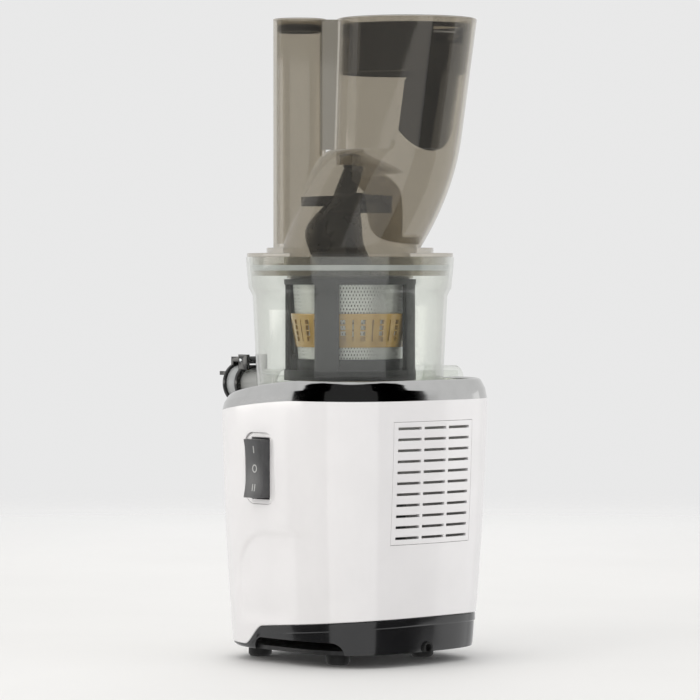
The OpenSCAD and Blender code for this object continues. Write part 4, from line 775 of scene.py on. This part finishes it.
def makeSkirt():
    w, wall = base["halfFoot"] - 0.6, base["skirtWall"]
    # the side under the lip stands back; the lip follows the seam and is never half the skirt's height
    tall = footRing(w, 1)[:, 2] - base["floor"]
    lip = 1 - np.minimum(base["lip"], 0.45 * tall) / tall
    rings = [footRing(w - 1.4 - base["lipStep"] + 1.4 * s ** 0.6, s * lip * 0.97)
        for s in np.linspace(0, 1, 10)]
    rings += [footRing(w - 0.15, lip), footRing(w, lip + 0.02), footRing(w, 0.97), footRing(w - 0.3, 0.985)]
    rings += [footRing(w - wall, 0.985), footRing(w - wall - 0.9, 0)]
    skirt = meshOf("baseSkirt", [hoop(np.stack(rings))])
    half, tall, corner = base["archLong"] / 2, base["archTall"], base["archRadius"]
    middle = base["archFront"] + half
    a = np.linspace(0, math.pi / 2, 14)
    floor = base["floor"]
    turn = np.stack([half - corner + corner * np.cos(a), floor + tall - corner + corner * np.sin(a)], -1)
    arch = np.concatenate([[[half, floor - 1]], turn, (turn * [-1, 1])[::-1], [[-half, floor - 1]]])
    carve(skirt, "DIFFERENCE", solid(extruded(arch + [middle, 0], (-100, 100), "x")))
    y = base["halfFoot"] - wall - 2 + base["back"]
    r, z = cordNotch["radius"], cordNotch["z"]
    a = np.linspace(0, math.pi, 25)
    mouth = np.concatenate([np.stack([r * np.cos(a), z + r * np.sin(a)], -1), [[-r, z - 10], [r, z - 10]]])
    carve(skirt, "DIFFERENCE", solid(extruded(mouth, (y, y + 20), "y")))
    dress(skirt, "base", "black_gloss", skirtAbs, ["base_skirt"])


def rockerFace(z):  # how far the hollow face stands out at a height over the pivot: an arc of a large circle
    half, hollow = switch["tall"] / 2, switch["hollow"]
    big = (half * half + hollow * hollow) / 2 / hollow
    faceX = bodyHalf(0.64)
    return faceX + switch["out"] - hollow + big - np.sqrt(big * big - z * z)


def onFace(y, z, lift):  # points on the rocker's face, lifted off it
    x = rockerFace(z) + lift
    return np.stack([x, y + base["back"] - switch["front"], z + switch["z"]], -1)


def strip(line, width, closed):
    # a thin mark that follows a line on the face: across its width, then round its small thickness
    line = np.asarray(line, float)
    step = np.roll(line, -1, 0) - np.roll(line, 1, 0) if closed else np.gradient(line, axis=0)
    side = np.stack([-step[:, 1], step[:, 0]], -1)
    side /= np.linalg.norm(side, axis=1)[:, None]
    rings = []
    for s, lift in ((-1, -0.3), (-1, 0.06), (1, 0.06), (1, -0.3)):
        at = line + side * s * width / 2
        rings.append(onFace(at[:, 0], at[:, 1], lift))
    return np.stack(rings, 1), closed, True, not closed


def makeSwitch():
    dressCopy("switch_rocker", "rocker", "rocker_grey", rockerAbs, bevel=0.5)
    dressCopy("switch_frame", "base", "white_body", whiteAbs, bevel=0.5)
    a = np.linspace(0, 2 * math.pi, 40, endpoint=False)
    bar = np.stack([np.zeros(9), np.linspace(-2.6, 2.6, 9)], -1)
    marks = [strip(bar + [0, 14.0], 0.9, False),
        strip(np.stack([2.1 * np.cos(a), 2.6 * np.sin(a)], -1), 0.9, True),
        strip(bar + [-1.2, -14.0], 0.9, False), strip(bar + [1.2, -14.0], 0.9, False)]
    dress(meshOf("rockerMarks", marks), "rocker", "rocker_grey", markInk, [])


makeBody()
makeTrim()
makeDeck()
makeSkirt()
makeSwitch()
dressCopy("rubber_feet", "base", "rubber", blackRubber, bevel=0.4)
dressCopy("cord_inlet", "base", "rubber", blackRubber)
print("base made")


# --- bowl, spout and strainer ---

def makeBowl():
    dressCopy("bowl", "bowl", "clear", clearCopolyester, name="juiceBowl", sharp=28)
    dressCopy("pulp_duct", "bowl", "clear", clearCopolyester, bevel=0.6)
    dressCopy("spout_collar", "bowl", "cap_black", satinBlackAbs, bevel=0.4)
    dressCopy("cap_hinge_pin", "bowl", "pin_steel", groundSteel, bevel=0.3)
    dressCopy("juice_cap", "cap", "cap_black", satinBlackAbs, bevel=0.6)
    dressCopy("cap_gasket", "cap", "seal_grey", greySilicone, bevel=0.6)


strainer = {"foot": 38.4, "z": 219.0, "ringZ": 281.0, "flare": 4.6, "sheet": 1.0, "bandZ": 233.0,
    "bandTall": 25.0, "bandTop": 44.6, "slots": 36}


def sheetRadius(z):  # the sheet flares evenly from its foot to its ring
    return strainer["foot"] + (z - strainer["z"]) / (strainer["ringZ"] - strainer["z"]) * strainer["flare"]


def millimetreUv(piece, radius):  # lays the mesh flat: round the axis by a radius, and up, both in mm
    mesh = piece.data
    layer = mesh.uv_layers.new(name="millimetres")
    corners = np.zeros(len(mesh.loops), dtype=np.int32)
    mesh.loops.foreach_get("vertex_index", corners)
    places = np.zeros(len(mesh.vertices) * 3)
    mesh.vertices.foreach_get("co", places)
    places = (places.reshape(-1, 3) - axisPoint) / mm
    turn = np.arctan2(places[:, 1], places[:, 0])[corners]
    starts = np.zeros(len(mesh.polygons), dtype=np.int32)
    totals = np.zeros(len(mesh.polygons), dtype=np.int32)
    mesh.polygons.foreach_get("loop_start", starts)
    mesh.polygons.foreach_get("loop_total", totals)
    owner = np.repeat(np.arange(len(starts)), totals)
    first = turn[starts][owner]
    turn = first + (turn - first + math.pi) % (2 * math.pi) - math.pi  # no face runs back across the seam
    flat = np.stack([turn * radius, places[:, 2][corners]], -1)
    layer.data.foreach_set("uv", flat.astype(np.float32).ravel())


def makeStrainer():
    z0, z1, t = strainer["z"], strainer["ringZ"], strainer["sheet"]
    r0, r1 = sheetRadius(z0), sheetRadius(z1)
    sheet = meshOf("strainerSheet", [hoop(lathe([(r0 - t, z0), (r0, z0), (r1, z1), (r1 - t, z1)]))])
    millimetreUv(sheet, sheetRadius(250))
    dress(sheet, "bowl", "mesh_steel", etchedSteel, ["strainer_mesh"])
    low, high = strainer["bandZ"], strainer["bandZ"] + strainer["bandTall"]
    inner = [(sheetRadius(low) + 0.02, low), (sheetRadius(high) + 0.02, high)]
    outer = [(strainer["bandTop"], high), (strainer["bandTop"], high - 2), (sheetRadius(low) + 1.2, low)]
    band = meshOf("strainerBand", [hoop(lathe(inner + outer))])
    tools = []
    for i in range(strainer["slots"]):
        turn = aboutZ(360 * i / strainer["slots"])
        wide, long = (0.5, 1) if i % 2 else (1.9, 4)
        span = (strainer["bandTall"] - 8) / long
        for k in range(long):
            z, r = low + 4 + k * span, sheetRadius(low)
            box = block((r + 0.6, -wide, z + 0.5), (r + 10, wide, z + span - 0.5))
            tools.append(solid(box @ turn))
    carve(band, "DIFFERENCE", *tools)
    dress(band, "bowl", "gold", goldBand, ["strainer_band"])
    dressCopy("strainer_ring", "bowl", "dark_plastic", darkPolypropylene)
    dressCopy("strainer_base", "bowl", "dark_plastic", darkPolypropylene)
    dressCopy("wiper_frame", "wiper", "dark_plastic", darkPolypropylene)
    dressCopy("wiper_blades", "wiper", "seal_grey", darkSilicone)


auger = {"coreLow": 15.0, "coreHigh": 21.0, "flight": 35.0, "pitch": 62.0, "thick": 5.0, "from": 226.0,
    "to": 296.0, "headLow": 288.0, "headTop": 333.0, "neck": 348.0, "headOff": 12.2, "headTurn": -43.0,
    "headTwist": 50.0, "headDraw": 10.0}


def headRing(z):
    # the head's circle at a height: leans out by a half sine, turns evenly, draws in over its upper half
    k = (z - auger["headLow"]) / (auger["neck"] - auger["headLow"])
    r = auger["coreHigh"] + 0.5 - auger["headDraw"] * smoothStep(2 * k - 1)
    off = auger["headOff"] * math.sin(math.pi * k)
    a = math.radians(auger["headTurn"] + auger["headTwist"] * (k - 0.5))
    turn = np.linspace(0, 2 * math.pi, 120, endpoint=False)
    x, y = off * math.cos(a) + r * np.cos(turn), off * math.sin(a) + r * np.sin(turn)
    return np.stack([x, y, np.full(120, z)], -1)


def makeAuger():
    thin, wide = auger["coreLow"], auger["coreHigh"]
    shape = [(thin, 220.4), (thin, 236), (thin + 0.2, 252), (wide, 286)]
    core = np.vstack([[(6.98, 207.5), (8.5, 207.5), (8.5, 214.4), (9.4, 214.4), (9.4, 219.6)],
        through(shape, 40), [(wide, 288.9), (6.98, 288.9)]])
    head = np.stack([headRing(z) for z in np.linspace(auger["headLow"], auger["headTop"], 31)])
    parts = [hoop(lathe(core)), solid(head)]
    k = np.linspace(0, 1, 161)[:, None]
    for start in (0, 180):  # a tapering ridge carried round the core
        a = np.radians(start) + k * (auger["to"] - auger["from"]) / auger["pitch"] * 2 * math.pi
        root = auger["coreLow"] - 3 + (auger["coreHigh"] - auger["coreLow"] - 3) * k
        tip = auger["flight"] - 2.5 * (1 - k)
        t = auger["thick"]
        radius = np.concatenate([root, root, tip - 0.5, tip, tip, tip - 0.5], 1)
        lift = np.array([[-t / 2, t / 2, t / 5, t / 8, -t / 8, -t / 5]])
        z = auger["from"] + (auger["to"] - auger["from"]) * k + lift
        parts.append(solid(np.stack([radius * np.cos(a), radius * np.sin(a), z], -1)))
    dress(meshOf("augerScrew", parts), "auger", "auger_dark", augerPlastic, ["auger_screw"], sharp=40)
    dressCopy("auger_wing", "auger", "auger_dark", augerPlastic, sharp=40)


makeBowl()
makeStrainer()
makeAuger()
print("bowl, strainer and auger made")


# --- hopper ---

hopper = {
    "turn": 136.0, "top": 477.0, "wall": 2.6, "mouth": 52.5, "off": 42.5, "smallRadius": 19.8,
    "smallOff": 37.8, "chamber": 53.0, "chamberZ": 307.0, "lean": 0.13, "tuckZ": 390.0, "crotchZ": 380.0,
    "sides": 176, "collarTall": 40.0, "collarWall": 2.0, "collarGap": 0.25, "lip": 3.6, "webHalf": 12.0,
}
edgeTop = hopper["off"] + hopper["mouth"]
tuckIn = edgeTop - hopper["lean"] * (hopper["top"] - hopper["chamberZ"]) - hopper["chamber"]
crotchU = hopper["off"] - hopper["mouth"] - 3


def chuteRing(z, inset, up=0.0):
    # an ellipse between the chute's two edges: the right one leans in and tucks in with a square law, the
    # left one is straight down to the crotch and then runs out over the small chute with a square root
    top, low, crotch, chamber = hopper["top"], hopper["chamberZ"], hopper["crotchZ"], hopper["chamber"]
    fall = max(0, (hopper["tuckZ"] - z) / (hopper["tuckZ"] - low))
    right = edgeTop - hopper["lean"] * (top - z) - tuckIn * fall ** 2
    if z > crotch:
        left = crotchU + 3 * (z - crotch) / (top - crotch)
    else:
        left = crotchU - (chamber + crotchU) * math.sqrt(min(1, (crotch - z) / (crotch - low)))
    deep = hopper["mouth"] + (chamber - hopper["mouth"]) * (top - z) / (top - low)
    a = np.linspace(0, 2 * math.pi, hopper["sides"], endpoint=False)
    u = (left + right) / 2 + ((right - left) / 2 - inset) * np.cos(a)
    return np.stack([u, (deep - inset) * np.sin(a), np.full(len(a), z + up)], -1)


def turned(grid):  # from the hopper's own directions to the machine's
    return grid @ aboutZ(hopper["turn"])


def chuteSolid(inset, over):
    span = hopper["crotchZ"] - hopper["chamberZ"]
    levels = [hopper["crotchZ"] - span * s * s for s in np.linspace(1, 0, 30)]
    levels += list(np.linspace(hopper["crotchZ"], hopper["top"], 16)[1:])
    rings = [chuteRing(hopper["chamberZ"], inset, -over)] if over else []
    rings += [chuteRing(z, inset) for z in levels]
    rings += [chuteRing(hopper["top"], inset, over)] if over else []
    return solid(turned(np.stack(rings)))


def upright(radius, z0, z1, u):  # a round bar along the hopper's small chute
    return solid(turned(rod((u, 0, z0), (u, 0, z1), radius, 120)))


def makeHopper():
    off, wall, low, top = -hopper["smallOff"], hopper["wall"], hopper["chamberZ"], hopper["top"]
    shell = meshOf("hopperShell", [chuteSolid(0, 0)])
    half, crotch, small = hopper["webHalf"], hopper["crotchZ"], hopper["smallRadius"]
    carve(shell, "UNION", upright(small, low, top, off))
    carve(shell, "UNION", solid(turned(block((off, -half, crotch), (crotchU + 4, half, top)))))
    carve(shell, "DIFFERENCE", chuteSolid(wall, 3))
    carve(shell, "DIFFERENCE", upright(small - wall, low + 3, top + 30, off))
    shoulder = hopper["chamber"] - 1.2
    outside = [(0, low), (0, 340), (-3, 354), (-15, 366), (-34, 375)]  # each from the shoulder's radius
    inside = [(-35, 373), (-16.4, 364.4), (-5, 353), (-2, 340), (-2, low)]
    outside = through([(shoulder + r, z) for r, z in outside] + [(4, 381)], 46)
    inside = through([(4, 379)] + [(shoulder + r, z) for r, z in inside], 46)
    dome = meshOf("tool", [hoop(lathe(np.vstack([outside, inside])))])
    carve(dome, "INTERSECT", solid(turned(block((2, -60, low - 1), (82, 60, low + 90)))))
    carve(dome, "DIFFERENCE", solid(turned(block((12, -34, low + 8), (92, 34, low + 56)))))
    combine(shell, dome, "UNION")
    hub = [(8, 369), (10.5, 369), (10.5, 381), (0.01, 381), (0.01, 378), (8, 378)]
    carve(shell, "UNION", hoop(lathe(hub)))
    dress(shell, "hopper", "smoke", smokeCopolyester, ["hopper_shell"], sharp=30)
    centres = (faceCentres(shell) - axisPoint) / mm
    a = math.radians(hopper["turn"])
    across = centres[:, 1] * math.cos(a) - centres[:, 0] * math.sin(a)  # away from the hopper's long plane
    web = (np.abs(np.abs(across) - half) < 0.05) & (centres[:, 2] > crotch)
    secondFinish(shell, thickSmoke, web)
    print("web faces:", int(web.sum()))
    dressCopy("hopper_base", "hopper", "smoke", smokeCopolyester, bevel=0.3)


def makeMouth():
    lining = hopper["wall"] + hopper["collarGap"]
    inner = lining + hopper["collarWall"]
    top, tall = hopper["top"], hopper["collarTall"]
    lip = top - hopper["lip"]
    rings = [chuteRing(z, lining) for z in (*np.linspace(top - tall, lip, 7), lip + 0.1)]
    rings += [chuteRing(top, lining, 0.01), chuteRing(top, 0, 0.01), chuteRing(top, 0.1, 0.6),
        chuteRing(top, 0.5, 1), chuteRing(top, inner - 0.3, 1), chuteRing(top, inner, 0.7)]
    rings += [chuteRing(z, inner) for z in (lip + 0.1, *np.linspace(lip, top - tall, 7))]
    collar = meshOf("gateCollar", [hoop(turned(np.stack(rings)))])
    gateAxis = hopper["mouth"] - lining - hopper["collarWall"] - 3.6 - 3
    slot = block((gateAxis - 6, -15.4, top - 19), (gateAxis + 14, 15.4, top - 7)) @ aboutZ(-48)
    slot += np.array([hopper["off"], 0, 0])
    carve(collar, "DIFFERENCE", solid(turned(slot)))
    small = hopper["smallRadius"]
    tube = small - hopper["wall"]
    profile = [(tube - 0.2, top - 9), (tube - 0.2, lip), (tube - 0.2, lip + 0.1), (tube - 0.2, top + 0.01),
        (small, top + 0.01), (small, top + 1), (tube - 1.8, top + 1), (tube - 1.8, lip + 0.1),
        (tube - 1.8, lip), (tube - 1.8, top - 9)]
    carve(collar, "UNION", hoop(turned(lathe(profile) - np.array([hopper["smallOff"], 0, 0]))))
    dress(collar, "hopper", "smoke_dark", collarSmoke, ["gate_collar"])
    secondFinish(collar, smokeCopolyester, faceCentres(collar)[:, 2] > (lip + 0.05) * mm)
    dressCopy("flip_gate", "gate", "smoke_dark", gateSmoke, bevel=0.4)
    dressCopy("gate_hinge_block", "hopper", "dark_plastic", satinBlackAbs, bevel=0.4)
    dressCopy("gate_pin", "hopper", "pin_steel", groundSteel)


makeHopper()
makeMouth()
print("hopper made")
